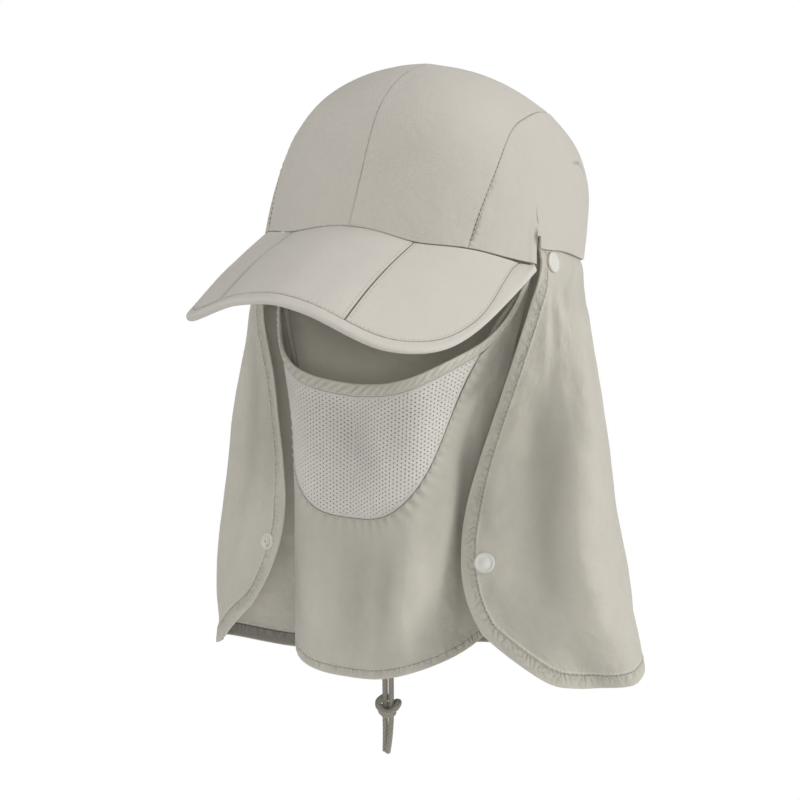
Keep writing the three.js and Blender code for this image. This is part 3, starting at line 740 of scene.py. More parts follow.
@dataclass(frozen=True)
class ResinFinish:
    """Moulded resin of a press stud."""

    name: str
    colour: Colour
    roughness: float = 0.34

    def make(self) -> bpy.types.Material:
        """Builds the material."""
        recipe = Recipe.material(self.name)
        place = recipe.wire("TexCoord", None, None, "Object")
        haze = recipe.noise(place, 260.0, 3.0)
        scuffs = recipe.noise(place, 1400.0, 2.0, 0.6)
        rim = recipe.look("wear", "Fac")
        colour = recipe.blend(haze, solid_colour(self.colour, 0.94), solid_colour(self.colour, 1.05))
        worn = recipe.blend(rim * 0.35, colour, solid_colour(self.colour, 1.12))
        return recipe.surface({
            "Base Color": worn, "Roughness": haze * 0.12 + scuffs * 0.08 + (self.roughness - 0.1),
            "Normal": recipe.bump(scuffs, 0.03 * MM, 0.35), "Specular IOR Level": 0.5,
        })


@dataclass(frozen=True)
class CordFinish:
    """Round braided cord."""

    name: str
    colour: Colour
    roughness: float = 0.72

    def make(self) -> bpy.types.Material:
        """Builds the material."""
        recipe = Recipe.material(self.name)
        grain = recipe.look("grain", "Vector")
        # Painted shade in the hollows between the braid's strands.
        hollow = recipe.look("seam", "Fac")
        fibres = recipe.noise(recipe.stretched(grain, (2.0, 6.0, 1.0)), 1.0, 2.0)
        patches = recipe.noise(grain, 0.09, 2.0)
        base = recipe.blend(fibres * 0.6 + patches * 0.4, solid_colour(self.colour, 0.86),
                            solid_colour(self.colour, 1.14))
        colour = recipe.blend(hollow * 0.75, base, solid_colour(self.colour, 0.5))
        return recipe.surface({
            "Base Color": colour, "Roughness": fibres * 0.12 + (self.roughness - 0.06),
            "Normal": recipe.bump(fibres, 0.12 * MM, 0.7), "Sheen Weight": 0.15,
            "Specular IOR Level": 0.3,
        })


@dataclass(frozen=True)
class Finishes:
    """All finishes of the cap, made once."""

    crown: ClothFinish = ClothFinish("crown_cloth", (0.512, 0.484, 0.43), crumple=1.1,
                                     crumple_size=15.0, mottle=0.035)
    brim: ClothFinish = ClothFinish("brim_cloth", (0.53, 0.503, 0.452), crumple=0.45,
                                    crumple_size=18.0, mottle=0.025, roughness=0.72)
    cape: ClothFinish = ClothFinish("cape_cloth", (0.487, 0.463, 0.399), crumple=2.6,
                                    crumple_size=15.0, mottle=0.09)
    veil: ClothFinish = ClothFinish("veil_cloth", (0.49, 0.467, 0.404), crumple=2.4,
                                    crumple_size=13.0, pitch=0.5, mottle=0.1)
    mesh: ClothFinish = ClothFinish("veil_mesh", (0.70, 0.675, 0.62), Weave.KNIT, pitch=0.35,
                                    relief=0.06, crumple=0.9, crumple_size=9.0, mottle=0.05,
                                    roughness=0.85, sheen=0.2)
    thread: ThreadFinish = ThreadFinish("sewing_thread", (0.47, 0.445, 0.385))
    # Near-black thread: its colour is painted shade of the needle holes, not the thread's own colour.
    dark_thread: ThreadFinish = ThreadFinish("seam_thread", (0.16, 0.148, 0.12))
    snap: ResinFinish = ResinFinish("snap_resin", (0.62, 0.615, 0.56))
    cord: CordFinish = CordFinish("chin_cord", (0.33, 0.31, 0.262))

    def all(self) -> dict[str, bpy.types.Material]:
        """Builds each material under the name of its field."""
        return {entry.name: getattr(self, entry.name).make() for entry in fields(self)}


# Shapes of the cap

class Skin:
    """Surface whose points follow from two parameters."""

    # How far each parameter is moved to both sides to find the slope
    slope_steps = (0.004, 1.0)

    def point(self, first: Array, second: Array) -> Array:
        """Points of the surface, in millimetres."""
        raise NotImplementedError

    def normal(self, first: Array, second: Array) -> Array:
        """Vectors of length one that are square to the surface."""
        step, reach = self.slope_steps
        across = self.point(first + step, second) - self.point(first - step, second)
        along = self.point(first, second + reach) - self.point(first, second - reach)
        return unit(np.cross(across, along))

    def lay(self, first: Array, second: Array) -> tuple[Array, Array]:
        """Points and normals."""
        return self.point(first, second), self.normal(first, second)


@dataclass(frozen=True)
class CrownShape(Skin):
    """Outer skin of the crown, by the angle from the front and the rise above the rim's level."""

    top: float = 103.7
    roundness: float = 2.3
    # rise, half width, front, back
    levels: tuple = ((0, 83.4, 95.2, 106.9), (18, 80.4, 80.1, 118.3), (36, 71.1, 65.4, 100.4),
                     (54, 54.3, 51.3, 64.1), (72, 29.0, 28.7, 31.2), (90, 0, 0, 0))
    slit_front: float = 81.0
    slit_back: float = 83.0
    slit_top: float = 15.6
    # angle, height; two rows from the far side keep the middle smooth
    front_rim: tuple = ((-24, 18.4), (-14, 21.7), (0, 24.5), (14, 21.7), (24, 18.4), (36, 16.4),
                        (48, 13.9), (60, 9.4), (72, 4.3), (81, 0.6))
    rear_rim: tuple = ((83, 8.6), (94, 3.6), (103, -1.4), (124, -9.4), (150, -13.0), (180, -14.0))
    # angle, rise
    side_seam: tuple = ((46.5, 7.9), (49.7, 16.1), (56.5, 26.9), (69.4, 39.2), (91.4, 47.6),
                        (104.5, 48.6), (118, 47.4), (135, 44.5), (155, 41.5), (180, 40.5))
    back_seam_angle: float = 130.0
    # Rise of the top, and the highest one at which a slope is taken
    top_rise: float = 90.0
    slope_top: float = 89.0
    slope_steps = (0.25, 0.25)

    def rise_of(self, height: Array | float) -> Array:
        """Rise in degrees at a height."""
        return np.degrees(np.arcsin(np.asarray(height) / self.top))

    def point(self, angle: Array, rise: Array) -> Array:
        """Points of the skin, in millimetres."""
        half_width, front, back = np.moveaxis(Curve(self.levels)(rise), -1, 0)
        turn = np.radians(angle)
        power = 2 / self.roundness
        forward = np.cos(turn)
        x = half_width * signed_power(np.sin(turn), power)
        y = -np.where(forward > 0, front, back) * signed_power(forward, power)
        return stacked(x, y, self.top * np.sin(np.radians(rise)))

    def normal(self, angle: Array, rise: Array) -> Array:
        """Outward normals of the skin."""
        return super().normal(angle, np.minimum(rise, self.slope_top))

    def rim_rise(self, angle: Array) -> Array:
        """Rise of the rim, with the slit as a notch."""
        turned = np.abs(np.where(angle > 180, 360 - angle, angle))
        height = np.where(turned <= self.slit_front, Curve(self.front_rim)(turned),
                          Curve(self.rear_rim)(turned))
        notch = (turned > self.slit_front) & (turned < self.slit_back)
        return self.rise_of(np.where(notch, self.slit_top, height))


CROWN = CrownShape()


@dataclass(frozen=True)
class CapeShape(Skin):
    """Neck cape, by the place along it from the back's middle (0) to a front edge, and height."""

    # height, half width, centre y, back y, back roundness, edge x, edge y
    levels: tuple = (
        (0, 87.5, -9, 104, 1.9, 84, -19.5), (-14, 94, -9, 103, 1.7, 84, -28),
        (-40, 103, -8, 101, 1.55, 81, -40), (-70, 109.5, -5, 98, 1.55, 72.5, -44),
        (-100, 114.5, -3, 95, 1.62, 64.5, -50), (-130, 118.5, -1, 93, 1.7, 57.5, -55),
        (-160, 121.5, 0, 91, 1.82, 56.7, -60), (-184, 125.5, 2, 90, 1.9, 63.7, -65),
        (-204, 128.5, 4, 90, 1.95, 76, -65), (-236, 132, 6, 90, 2.0, 96, -50),
        (-260, 133, 6, 91, 2.0, 103, -44))
    # along, height, tilt
    hem: tuple = ((0, -250.5, 0), (0.15, -253.5, 1.5), (0.3, -255, 4.5), (0.46, -247.5, 8.5),
                  (0.58, -241.1, 7.5), (0.7, -237.7, 3.3), (0.82, -236.3, 1.7), (0.91, -232.1, 0.2),
                  (0.965, -219.7, -1.8), (1, -200, 0))
    # side (0 for both), along, depth, width and the drop over which a fold grows
    folds: tuple = ((0, 0, 5, 0.09, 200), (0, 0.17, -5, 0.07, 200), (0, 0.33, 5, 0.07, 200),
                    (0, 0.49, -3, 0.06, 200), (0, 0.66, 2.5, 0.06, 200),
                    (0, 0.8, -3.5, 0.055, 200), (1, 0.745, 6.5, 0.06, 90), (1, 0.875, -2.5, 0.05, 90))
    tuck: float = 4.0
    tuck_gap: float = 0.7
    cloth: float = 1.2
    crown_cloth: float = 1.2
    start_angle: float = 83.6
    flare_start: float = 1.0
    flare_depth: float = 26.0
    fold_centre_y: float = 10.0

    def top(self, half: Array) -> Array:
        """Height of the upper edge, under the crown's hem."""
        return Curve(CROWN.rear_rim)(180 + (self.start_angle - 180) * half) + self.tuck

    def bottom(self, along: Array) -> Array:
        """Height of the hem."""
        row = Curve(self.hem)(np.abs(along))
        return row[..., 0] + row[..., 1] * np.sign(along)

    def plan(self, half: Array, height: Array) -> tuple[Array, Array]:
        """Level section: x and y at a place along one half."""
        row = np.moveaxis(Curve(self.levels)(height), -1, 0)
        half_width, centre_y, back_y, back_round, edge_x, edge_y = row
        edge_turn = np.arcsin(edge_x / half_width)
        turn = math.pi + (edge_turn - math.pi) * half
        reach = (centre_y - edge_y) / np.cos(edge_turn)
        forward = np.cos(turn)
        sine = np.clip(np.sin(turn), 0.0, 1.0)
        power = 2 / back_round
        x = half_width * np.where(forward > 0, sine, sine ** power)
        behind = centre_y + (back_y - centre_y) * np.maximum(-forward, 0) ** power
        return x, np.where(forward > 0, centre_y - reach * forward, behind)

    def point(self, along: Array, height: Array) -> Array:
        """Points of the cape's middle face, in millimetres."""
        half = np.abs(along)
        angle = 180 + (self.start_angle - 180) * half
        rim = Curve(CROWN.rear_rim)(angle)
        flare_top = rim - self.flare_start
        inset = self.crown_cloth + self.tuck_gap + self.cloth / 2
        ring = CROWN.point(angle, CROWN.rise_of(np.maximum(height, flare_top)))
        shrink = 1 - inset / np.hypot(ring[..., 0], ring[..., 1])
        blend = smooth_step((flare_top - height) / self.flare_depth)
        plan_x, plan_y = self.plan(half, np.minimum(height, 0))
        fold = sum(np.where(side * along < 0, 0, depth) * bell(half - at, width)
                   * smooth_step((rim - height) / reach)
                   for side, at, depth, width, reach in self.folds)
        size = np.maximum(np.hypot(plan_x, plan_y - self.fold_centre_y), 1e-6)
        out_x = plan_x / size * fold
        out_y = (plan_y - self.fold_centre_y) / size * fold
        x = ring[..., 0] * shrink * (1 - blend) + plan_x * blend + out_x
        y = ring[..., 1] * shrink * (1 - blend) + plan_y * blend + out_y
        return stacked(np.where(along < 0, -x, x), y, height)

    def normal(self, along: Array, height: Array) -> Array:
        """Outward normals of the cape."""
        return -super().normal(along, height)


CAPE = CapeShape()


@dataclass(frozen=True)
class VeilShape(Skin):
    """Face veil, by the place along it from its middle (0) to an end, and height."""

    # height, middle y, corner x, corner y, side x, side y, end x, end y
    levels: tuple = (
        (6, -82, 50, -75, 74, -44, 80.1, -19.5), (-20, -81, 48, -76, 70, -45, 76.4, -22),
        (-50, -79.5, 44, -76.5, 62, -50, 71, -27), (-90, -80, 40, -75, 54, -51, 66, -26),
        (-140, -80.5, 38.5, -76, 52, -52, 63, -26), (-230, -80, 36, -77, 52, -51, 62, -26))
    # along, height
    top: tuple = ((0, -63.5), (0.25, -60.5), (0.45, -54.5), (0.62, -46), (0.78, -34.5),
                  (0.9, -17), (1, 4.5))
    hem: tuple = ((0, -230), (0.2, -228.3), (0.4, -225), (0.6, -220.4), (0.8, -213.5), (1, -203))
    # step, along, height
    seam: tuple = ((1, 0.73, -46.6), (0.86, 0.68, -65), (0.72, 0.63, -84), (0.58, 0.56, -103),
                   (0.44, 0.46, -119), (0.28, 0.3, -132.5), (0.14, 0.15, -137.4), (0, 0, -138.5))
    band_depth: float = 7.0
    band_gap: float = 0.1
    seam_gap: float = 0.003
    seam_drop: float = 0.1
    seam_step: float = 0.3
    places: tuple = (-0.48, 0.0, 0.48, 0.74, 1.0)
    seam_corner: float = 0.5

    def point(self, along: Array, height: Array) -> Array:
        """Points of the veil's middle face, in millimetres."""
        half = np.abs(along)
        row = np.moveaxis(Curve(self.levels)(height), -1, 0)
        middle_y, corner_x, corner_y, side_x, side_y, end_x, end_y = row
        share = Curve([(at, *(float(i == k) for k in range(5)))
                       for i, at in enumerate(self.places)])(half)
        weight = np.moveaxis(share, -1, 0)
        x = weight[0] * -corner_x + weight[2] * corner_x + weight[3] * side_x + weight[4] * end_x
        y = (weight[0] + weight[2]) * corner_y + weight[1] * middle_y \
            + weight[3] * side_y + weight[4] * end_y
        return stacked(np.where(along < 0, -x, x), y, height)

    def band_top(self, along: Array) -> Array:
        """Height of the veil's upper edge."""
        return Curve(self.top)(np.abs(along))

    def band_line(self, along: Array) -> Array:
        """Height of the edge under the band."""
        return self.band_top(along) - self.band_depth - self.band_gap


VEIL = VeilShape()


@dataclass(frozen=True)
class BrimShape(Skin):
    """Brim, by the side angle on the crown and the way out from its rim (0) to the edge (1)."""

    # side angle, x, y, z of the free edge, with two rows from the far side
    ribs: tuple = (
        (-24, -37.7, -163.6, -14.9), (-12, -19.5, -166.3, -8.3), (0, 0, -167, -5.5),
        (12, 19.5, -166.3, -8.3), (24, 37.7, -163.6, -14.9), (30, 55.5, -155, -23.2),
        (36, 69, -140, -27.5), (43, 78.5, -119.5, -28),
        (51, 84.5, -95, -22.4), (60, 87.3, -70, -13.6), (69, 87.6, -49, -6.8),
        (76, 87, -35, -2.4), (80, 85.6, -27, -0.6))
    plate: float = 3.0
    band: float = 4.4
    crease: float = 24.0
    crease_gap: float = 0.1
    band_width: float = 7.0
    panel_turn: float = 50.0
    panel_end: float = 71.0
    end: float = 80.0
    seat_inset: float = 0.9
    seat_gap: float = 0.39
    seat_share: float = 0.55
    bulge: float = 3.2
    full_length: float = 80.0
    left_droop: float = 4.6
    slope_steps = (0.15, 0.01)

    def run_in(self, angle: Array) -> Array:
        """How far the line between panels and band has run in to the crown."""
        return np.clip((angle - self.panel_turn) / (self.panel_end - self.panel_turn), 0, 1) ** 2

    def point(self, side: Array, out: Array) -> Array:
        """Points of the brim's middle face, in millimetres."""
        angle = np.abs(side)
        sign = np.where(side < 0, -1.0, 1.0)
        root = CROWN.point(angle, CROWN.rim_rise(angle))
        edge = Curve(self.ribs)(angle)
        inward = 1 - self.seat_inset / np.hypot(root[..., 0], root[..., 1])
        length = np.hypot(root[..., 0] - edge[..., 0], root[..., 1] - edge[..., 1])
        fullness = np.minimum(1.0, length / self.full_length)
        thickness = self.plate + (self.band - self.plate) * self.run_in(angle)
        seat = self.seat_gap + self.seat_share * thickness
        droop = self.left_droop * fullness * sign * edge[..., 0] / self.ribs[-1][1]
        x = sign * (root[..., 0] * inward * (1 - out) + edge[..., 0] * out)
        y = root[..., 1] * inward * (1 - out) + edge[..., 1] * out
        z = (root[..., 2] - seat) * (1 - out) + (edge[..., 2] - droop) * out
        return stacked(x, y, z + self.bulge * np.sin(math.pi * out) * fullness)

    def normal(self, side: Array, out: Array) -> Array:
        """Upward normals of the brim."""
        found = super().normal(side, out)
        return np.where(found[..., 2:] < 0, -found, found)

    def length(self, side: Array) -> Array:
        """Distance from the crown's rim to the free edge."""
        return np.linalg.norm(self.point(side, np.ones_like(side)) - self.point(side, 0.0 * side),
                              axis=-1)

    def line_out(self, side: Array, moved: float) -> Array:
        """How far out the line between panel and band lies, moved by a distance."""
        length = self.length(side)
        share = (1 - self.band_width / length) * (1 - self.run_in(np.abs(side)))
        return np.maximum(0.0, share + moved / length)


BRIM = BrimShape()


# Camera, floor and light

@dataclass
class Studio:
    """Camera at the photograph's angle, a pale floor and soft light, in metres."""

    azimuth: float = 28.5
    elevation: float = 11.2
    distance: float = 2.2
    aim: tuple[float, float, float] = (-0.0085, -0.0103, -0.0855)
    lens: float = 175.0
    floor_height: float = -0.95
    floor_radius: float = 1.1
    floor_sides: int = 96
    # azimuth, elevation, strength, softness in degrees
    suns: tuple = ((114.0, 20.0, 2.1, 34.0), (-50.0, 66.0, 1.4, 55.0), (28.0, 10.5, 0.7, 8.0))
    # Brightness of the sky by the height of its direction, from straight down (0) to up (1)
    sky: tuple = ((0.0, 0.36), (0.29, 0.36), (0.31, 1.0), (0.5, 1.0), (0.53, 0.24), (1.0, 0.24))

    def away(self, azimuth: float, elevation: float) -> Vector:
        """Direction from the cap towards a place round it."""
        a, e = math.radians(azimuth), math.radians(elevation)
        return Vector((math.sin(a) * math.cos(e), -math.cos(a) * math.cos(e), math.sin(e)))

    def camera(self) -> None:
        """Places the camera."""
        data = bpy.data.cameras.new("camera")
        data.lens = self.lens
        data.sensor_width = 36.0
        data.clip_start, data.clip_end = 0.05, 200.0
        camera = bpy.data.objects.new("camera", data)
        back = self.away(self.azimuth, self.elevation)
        camera.location = Vector(self.aim) + back * self.distance
        camera.rotation_euler = (-back).to_track_quat("-Z", "Y").to_euler()
        bpy.context.scene.collection.objects.link(camera)
        bpy.context.scene.camera = camera

    def lights(self) -> None:
        """Hangs the soft lamps."""
        for number, (azimuth, elevation, strength, softness) in enumerate(self.suns):
            data = bpy.data.lights.new(f"lamp_{number}", "SUN")
            data.energy = strength
            data.angle = math.radians(softness)
            lamp = bpy.data.objects.new(f"lamp_{number}", data)
            lamp.rotation_euler = (self.away(azimuth, elevation)).to_track_quat("Z", "Y").to_euler()
            bpy.context.scene.collection.objects.link(lamp)

    def sky_light(self) -> None:
        """Lights the sky: white round the horizon, dimmer above and below."""
        recipe = Recipe(bpy.data.worlds.new("sky"))
        direction = recipe.wire("TexCoord", None, None, "Generated")
        height = recipe.wire("SeparateXYZ", None, {0: direction}, 2)
        stops = [(place, (light, light, light, 1.0)) for place, light in self.sky]
        shade = recipe.wire("ValToRGB", {"stops": stops}, {"Fac": height * 0.5 + 0.5})
        backdrop = recipe.node("Background", None, {"Color": shade, "Strength": 1.0})
        bpy.context.scene.world = recipe.finish(backdrop, "OutputWorld")
        bpy.context.scene.view_settings.view_transform = "Standard"

    def floor(self) -> None:
        """Lays the pale floor."""
        turns = np.arange(self.floor_sides) * TURN / self.floor_sides
        rim = self.floor_radius * stacked(np.cos(turns), np.sin(turns), 0)
        mesh = bpy.data.meshes.new("floor")
        mesh.from_pydata(rim, [], [list(range(self.floor_sides))])
        recipe = Recipe.material("floor_paint")
        mesh.materials.append(recipe.surface({
            "Base Color": (0.85, 0.85, 0.85, 1.0), "Roughness": 1.0, "Specular IOR Level": 0.0,
        }))
        floor = bpy.data.objects.new("floor", mesh)
        floor.location.z = self.floor_height
        bpy.context.scene.collection.objects.link(floor)

    def build(self) -> None:
        """Makes the whole studio."""
        self.camera()
        self.lights()
        self.sky_light()
        self.floor()


# Sub-assemblies

@dataclass
class ChinCord:
    """Braided cord: two strands from the temples that meet in a knot and end in short tails."""

    diameter: float = 3.2
    route: tuple = (
        (78.8, -12.3, -0.6), (75.4, -18.5, -9), (71.8, -28, -19.5), (67.2, -36.5, -31),
        (62.4, -42.4, -44), (57.6, -45, -58), (53.4, -46, -75), (50.2, -46.2, -95),
        (46.6, -46, -118), (40.5, -45.4, -142), (30.5, -44.5, -167), (18, -43.3, -189),
        (7.2, -41.8, -209), (2.6, -40.7, -224), (1.95, -40.2, -238), (1.95, -40, -249.6),
        (1.95, -40, -256), (1.95, -40, -262.4))
    # Tail below the knot, the same for both: how far it leans to -X, and draws in and turns
    tail_end: float = -284.0
    tail_lean: float = 1.2
    tail_draw: float = 0.5
    tail_turn: float = 1.25
    sides: int = 30
    ring_step: float = 0.45
    strands: int = 5
    lay: float = 5.2
    relief: float = 0.11
    knot: tuple = (0.0, -40.0, -256.0)
    knot_radius: float = 1.95
    knot_turn: float = 28.5
    # The wrap round both strands, from the knot's middle: across, towards the front and up
    wrap: tuple = (
        (3.0, -2.6, 3.2), (-0.2, -3.0, 4.2), (-3.7, -0.9, 4.0), (-5.6, 1.3, 1.7), (-4.2, 3.0, -1.1),
        (-0.9, 3.9, -2.7), (2.7, 3.5, -1.6), (5.4, 1.6, 0.9), (5.7, -0.9, 1.8), (3.2, -3.0, 0.5),
        (-0.6, -3.4, -0.9), (-3.5, -2.0, -1.9), (-3.7, 0.7, -3.2), (-0.7, 2.7, -4.6),
        (2.3, 1.7, -4.3), (2.9, -1.0, -3.2))

    def braid(self, path: Array, radius: float, ends: float) -> tuple[Array, list, dict[str, Array]]:
        """Braided tube round a path.

        Args:
            path: Points of the centreline.
            radius: Radius of the cord.
            ends: Length over which an end is rounded.

        Returns:
            Its points, its faces and its looks.
        """
        along = arc_lengths(path)
        turns = np.arange(self.sides) * TURN / self.sides
        wind = TURN * along[:, None] / self.lay
        left = np.cos(self.strands * (turns[None] + wind / self.strands * 2))
        right = np.cos(self.strands * (turns[None] - wind / self.strands * 2))
        height = np.maximum(left, right)
        left_over = np.minimum(along, along[-1] - along)
        taper = np.sqrt(np.clip(1 - (1 - np.clip(left_over / ends, 0, 1)) ** 2, 0.02, 1))
        radii = (radius - self.relief + self.relief * height) * taper[:, None]
        vertices, faces, grain = tube(path, radii, self.sides)
        grain[:, 1] *= radius
        # The seam look is painted shade in the hollows between the strands.
        looks = {"grain": grain, "seam": np.clip(0.45 - height, 0, 1).ravel()}
        return vertices, faces, looks

    def line(self, points: Sequence[Sequence[float]], step: float) -> Array:
        """Even smooth path through points."""
        rough = np.asarray(points, float)
        chord = arc_lengths(rough)
        curve = Curve(np.column_stack([chord, rough]))
        keys = evenly_along(curve, 0.0, chord[-1], step)
        return curve(keys)

    def strand(self, side: int) -> Array:
        """Path of one strand with its passage through the knot and its tail."""
        share = np.linspace(0.25, 1, 4)
        end = np.asarray(self.route[-1], float)
        tail = stacked(end[0] - self.tail_draw * share ** 2 - side * self.tail_lean * share ** 2,
                       end[1] - side * self.tail_turn * share,
                       end[2] + (self.tail_end - end[2]) * share)
        return self.line(np.concatenate([self.route, tail]), self.ring_step) * (side, 1, 1)

    def build(self, finish: Paints) -> None:
        across, front, up = np.moveaxis(self.line(self.wrap, 0.4), -1, 0)
        turn = math.radians(self.knot_turn)
        wrap = stacked(across * math.cos(turn) + front * math.sin(turn),
                       across * math.sin(turn) - front * math.cos(turn), up)
        vertices, faces, looks = self.braid(wrap + np.asarray(self.knot), self.knot_radius, 2.0)
        knot = Piece("cord_knot_wrap", vertices, faces, looks)
        knot.dress(finish["cord"], "chin_cord", ["cord_knot"])
        for side, name in ((1, "left"), (-1, "right")):
            path = self.strand(side)
            vertices, faces, looks = self.braid(path, self.diameter / 2, 1.2)
            cord = Piece(f"chin_cord_{name}_braid", vertices, faces, looks)
            cord.dress(finish["cord"], "chin_cord", [f"chin_cord_{name}", f"cord_tail_{name}"])
            tuple(path[0] * MM)
            arc_lengths(path)[-1] * MM
            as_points(path[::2] * MM)


@dataclass
class Crown:
    """Crown of five panels with rolled seams, topstitching and a hem."""

    cloth: float = 1.2
    step: float = 1.2
    seam_gap: float = 0.04
    roll: float = 0.3
    ridge: float = 0.25
    ridge_width: float = 2.2
    seam_shade: float = 0.7
    pucker_length: float = 4.4
    pucker_reach: float = 3.2
    stitch_end: float = 70.0
    # Soft waves of the cloth: height and distance from crest to crest
    soft_waves: tuple = ((0.4, 75.0), (0.14, 26.0))
    soft_share: float = 0.4
    hem_round: float = 0.6
    hem_wear: float = 0.6
    seam_shade_width: float = 0.45
    # Fold in front of the slit: way from it, height, width and the depth of the dip before it
    slit_fold: float = 6.5
    fold_height: float = 0.9
    fold_width: float = 1.3
    dip: float = 0.75
    dip_start: float = 0.6
    # How far from the slit's top the fold fades out, and how dark the painted shade in the hollow there
    # is
    slit_fade: float = 3.0
    slit_reach: float = 3.4
    slit_shade: float = 2.4
    # Pinch behind the slit: depth, width and painted shade, and the ridge that stands beside it
    pinch_depth: float = 0.7
    pinch_width: float = 0.9
    pinch_shade: float = 2.0
    pinch_ridge: tuple[float, float, float] = (0.25, 2.2, 1.2)
    # Lengths that the rows of a front, side and back panel step over
    front_length: float = 125.0
    side_length: float = 62.0
    back_length: float = 80.0
    # Rise at which the columns step evenly, and gaps at the side and back seams in degrees
    even_rise: float = 20.0
    side_gap: float = 0.03
    back_gap: float = 0.05
    front_pucker: float = 0.16
    side_pucker: float = 0.6
    back_pucker: float = 0.2
    # Way from the side seam to a side panel's first column, columns beside the slit, and the
    # width of its cut edges, in degrees
    side_start: float = 0.3
    slit_columns: tuple = (80.0, 80.6, 83.4, 84.0)
    slit_cut: float = 0.02
    stitch_start: float = 0.6
    stitch_sink: float = 0.12
    # angle, rise
    pinch: tuple = ((108, 27.9), (112, 27.6), (117, 26.8), (119.5, 24.6), (121, 21.5))
    stitch: Stitch = field(default_factory=lambda: Stitch(length=1.6, gap=1.4, radius=0.34))

    def relief(self, points: Array, angles: Array, seams: Mapping[str, Line],
               hems: Sequence[Line], pucker: float, seed: int) -> tuple[Array, Array, dict[str, Array]]:
        """Relief of a panel off its seams and hems.

        Args:
            points: Grid of the panel.
            angles: Angles of its columns.
            seams: Its sewn edges by the name of the side.
            hems: Its free edges.
            pucker: Height of the puckers along the side seam.
            seed: Which soft waves it has.

        Returns:
            Height over the skin, depth under it and the looks of the cloth.
        """
        soft = sum(size * ripples(points, length, seed + number)
                   for number, (size, length) in enumerate(self.soft_waves))
        height = self.soft_share * soft
        sink = np.zeros(points.shape[:2])
        seam_look = np.zeros(points.shape[:2])
        wear = np.zeros(points.shape[:2])
        turned = np.where(angles > 180, 360 - angles, angles)
        lively = 0.2 + 0.8 * (1 - smooth_step((turned - self.stitch_end + 16) / 24))
        for number, (key, seam) in enumerate(seams.items()):
            far, along = seam.nearest(points)
            share = np.clip(far / self.roll, 0, 1)
            sink = np.maximum(sink, self.roll * (1 - np.sqrt(1 - (1 - share) ** 2)))
            uneven = 0.75 + 0.25 * np.sin(along * 0.21 + number)
            height += self.ridge * uneven * bell(far / self.ridge_width - 1, 1)
            seam_look = np.maximum(seam_look, self.seam_shade * bell(far, self.seam_shade_width))
            if key in ("high", "seam_low"):
                waves = np.sin(TURN * along / self.pucker_length + 1.4 * np.sin(along * 0.09))
                fade = bell(far, self.pucker_reach) * smooth_step(far / 0.8)
                height += pucker * waves * fade * lively * uneven
        for hem in hems:
            far, _ = hem.nearest(points)
            sink = np.maximum(sink, self.hem_round * (1 - rounded(far, self.hem_round)))
            wear = np.maximum(wear, self.hem_wear * bell(far, 0.9))
        depth = self.cloth - self.soft_share * soft - 0.3 * sink
        return height - sink, depth, {"seam": seam_look, "wear": wear}

    def slit(self, points: Array, angles: Array, mirror: bool) -> tuple[Array, Array]:
        """Fold in front of the slit and, on the wearer's left, the pinch behind it.

        Args:
            points: Grid of a side panel.
            angles: Angles of its columns.
            mirror: Whether it lies on the wearer's right.

        Returns:
            Height to add and the painted shade of the hollows.
        """
        low, high = CROWN.rim_rise(np.array(CROWN.slit_front)), CROWN.rise_of(CROWN.slit_top)
        rises = np.linspace(float(low), float(high), 30)
        edge = Line(CROWN.point(CROWN.slit_front + 0 * rises, rises))
        far, along = edge.nearest(points)
        before = (angles <= CROWN.slit_front + 0.01)[None]
        strip = self.fold_height * bell(far - self.slit_fold, self.fold_width)
        strip -= self.dip * (1 - smooth_step((far - self.dip_start) / (self.slit_fold - 1.8)))
        top = bell(edge.along[-1] - along, self.slit_fade) * bell(far, self.slit_reach)
        fade = smooth_step((edge.along[-1] + self.slit_fade - along) / self.slit_fade) * before
        route = Curve([(number, *row) for number, row in enumerate(self.pinch)])
        places = route(np.linspace(0, len(self.pinch) - 1, 40))
        pinch = Line(CROWN.point(places[:, 0], places[:, 1]))
        gap, place = pinch.nearest(points)
        grow = 0.0 if mirror else smooth_step(place / pinch.along[-1] * 2)
        size, off, width = self.pinch_ridge
        height = strip * fade - self.pinch_depth * grow * bell(gap, self.pinch_width) \
            + size * grow * bell(gap - off, width)
        # Painted shade in the pinch's groove and in the hollow at the slit's top.
        shade = self.pinch_shade * grow * bell(gap, 0.7)
        return height, np.maximum(self.slit_shade * top * before, shade)

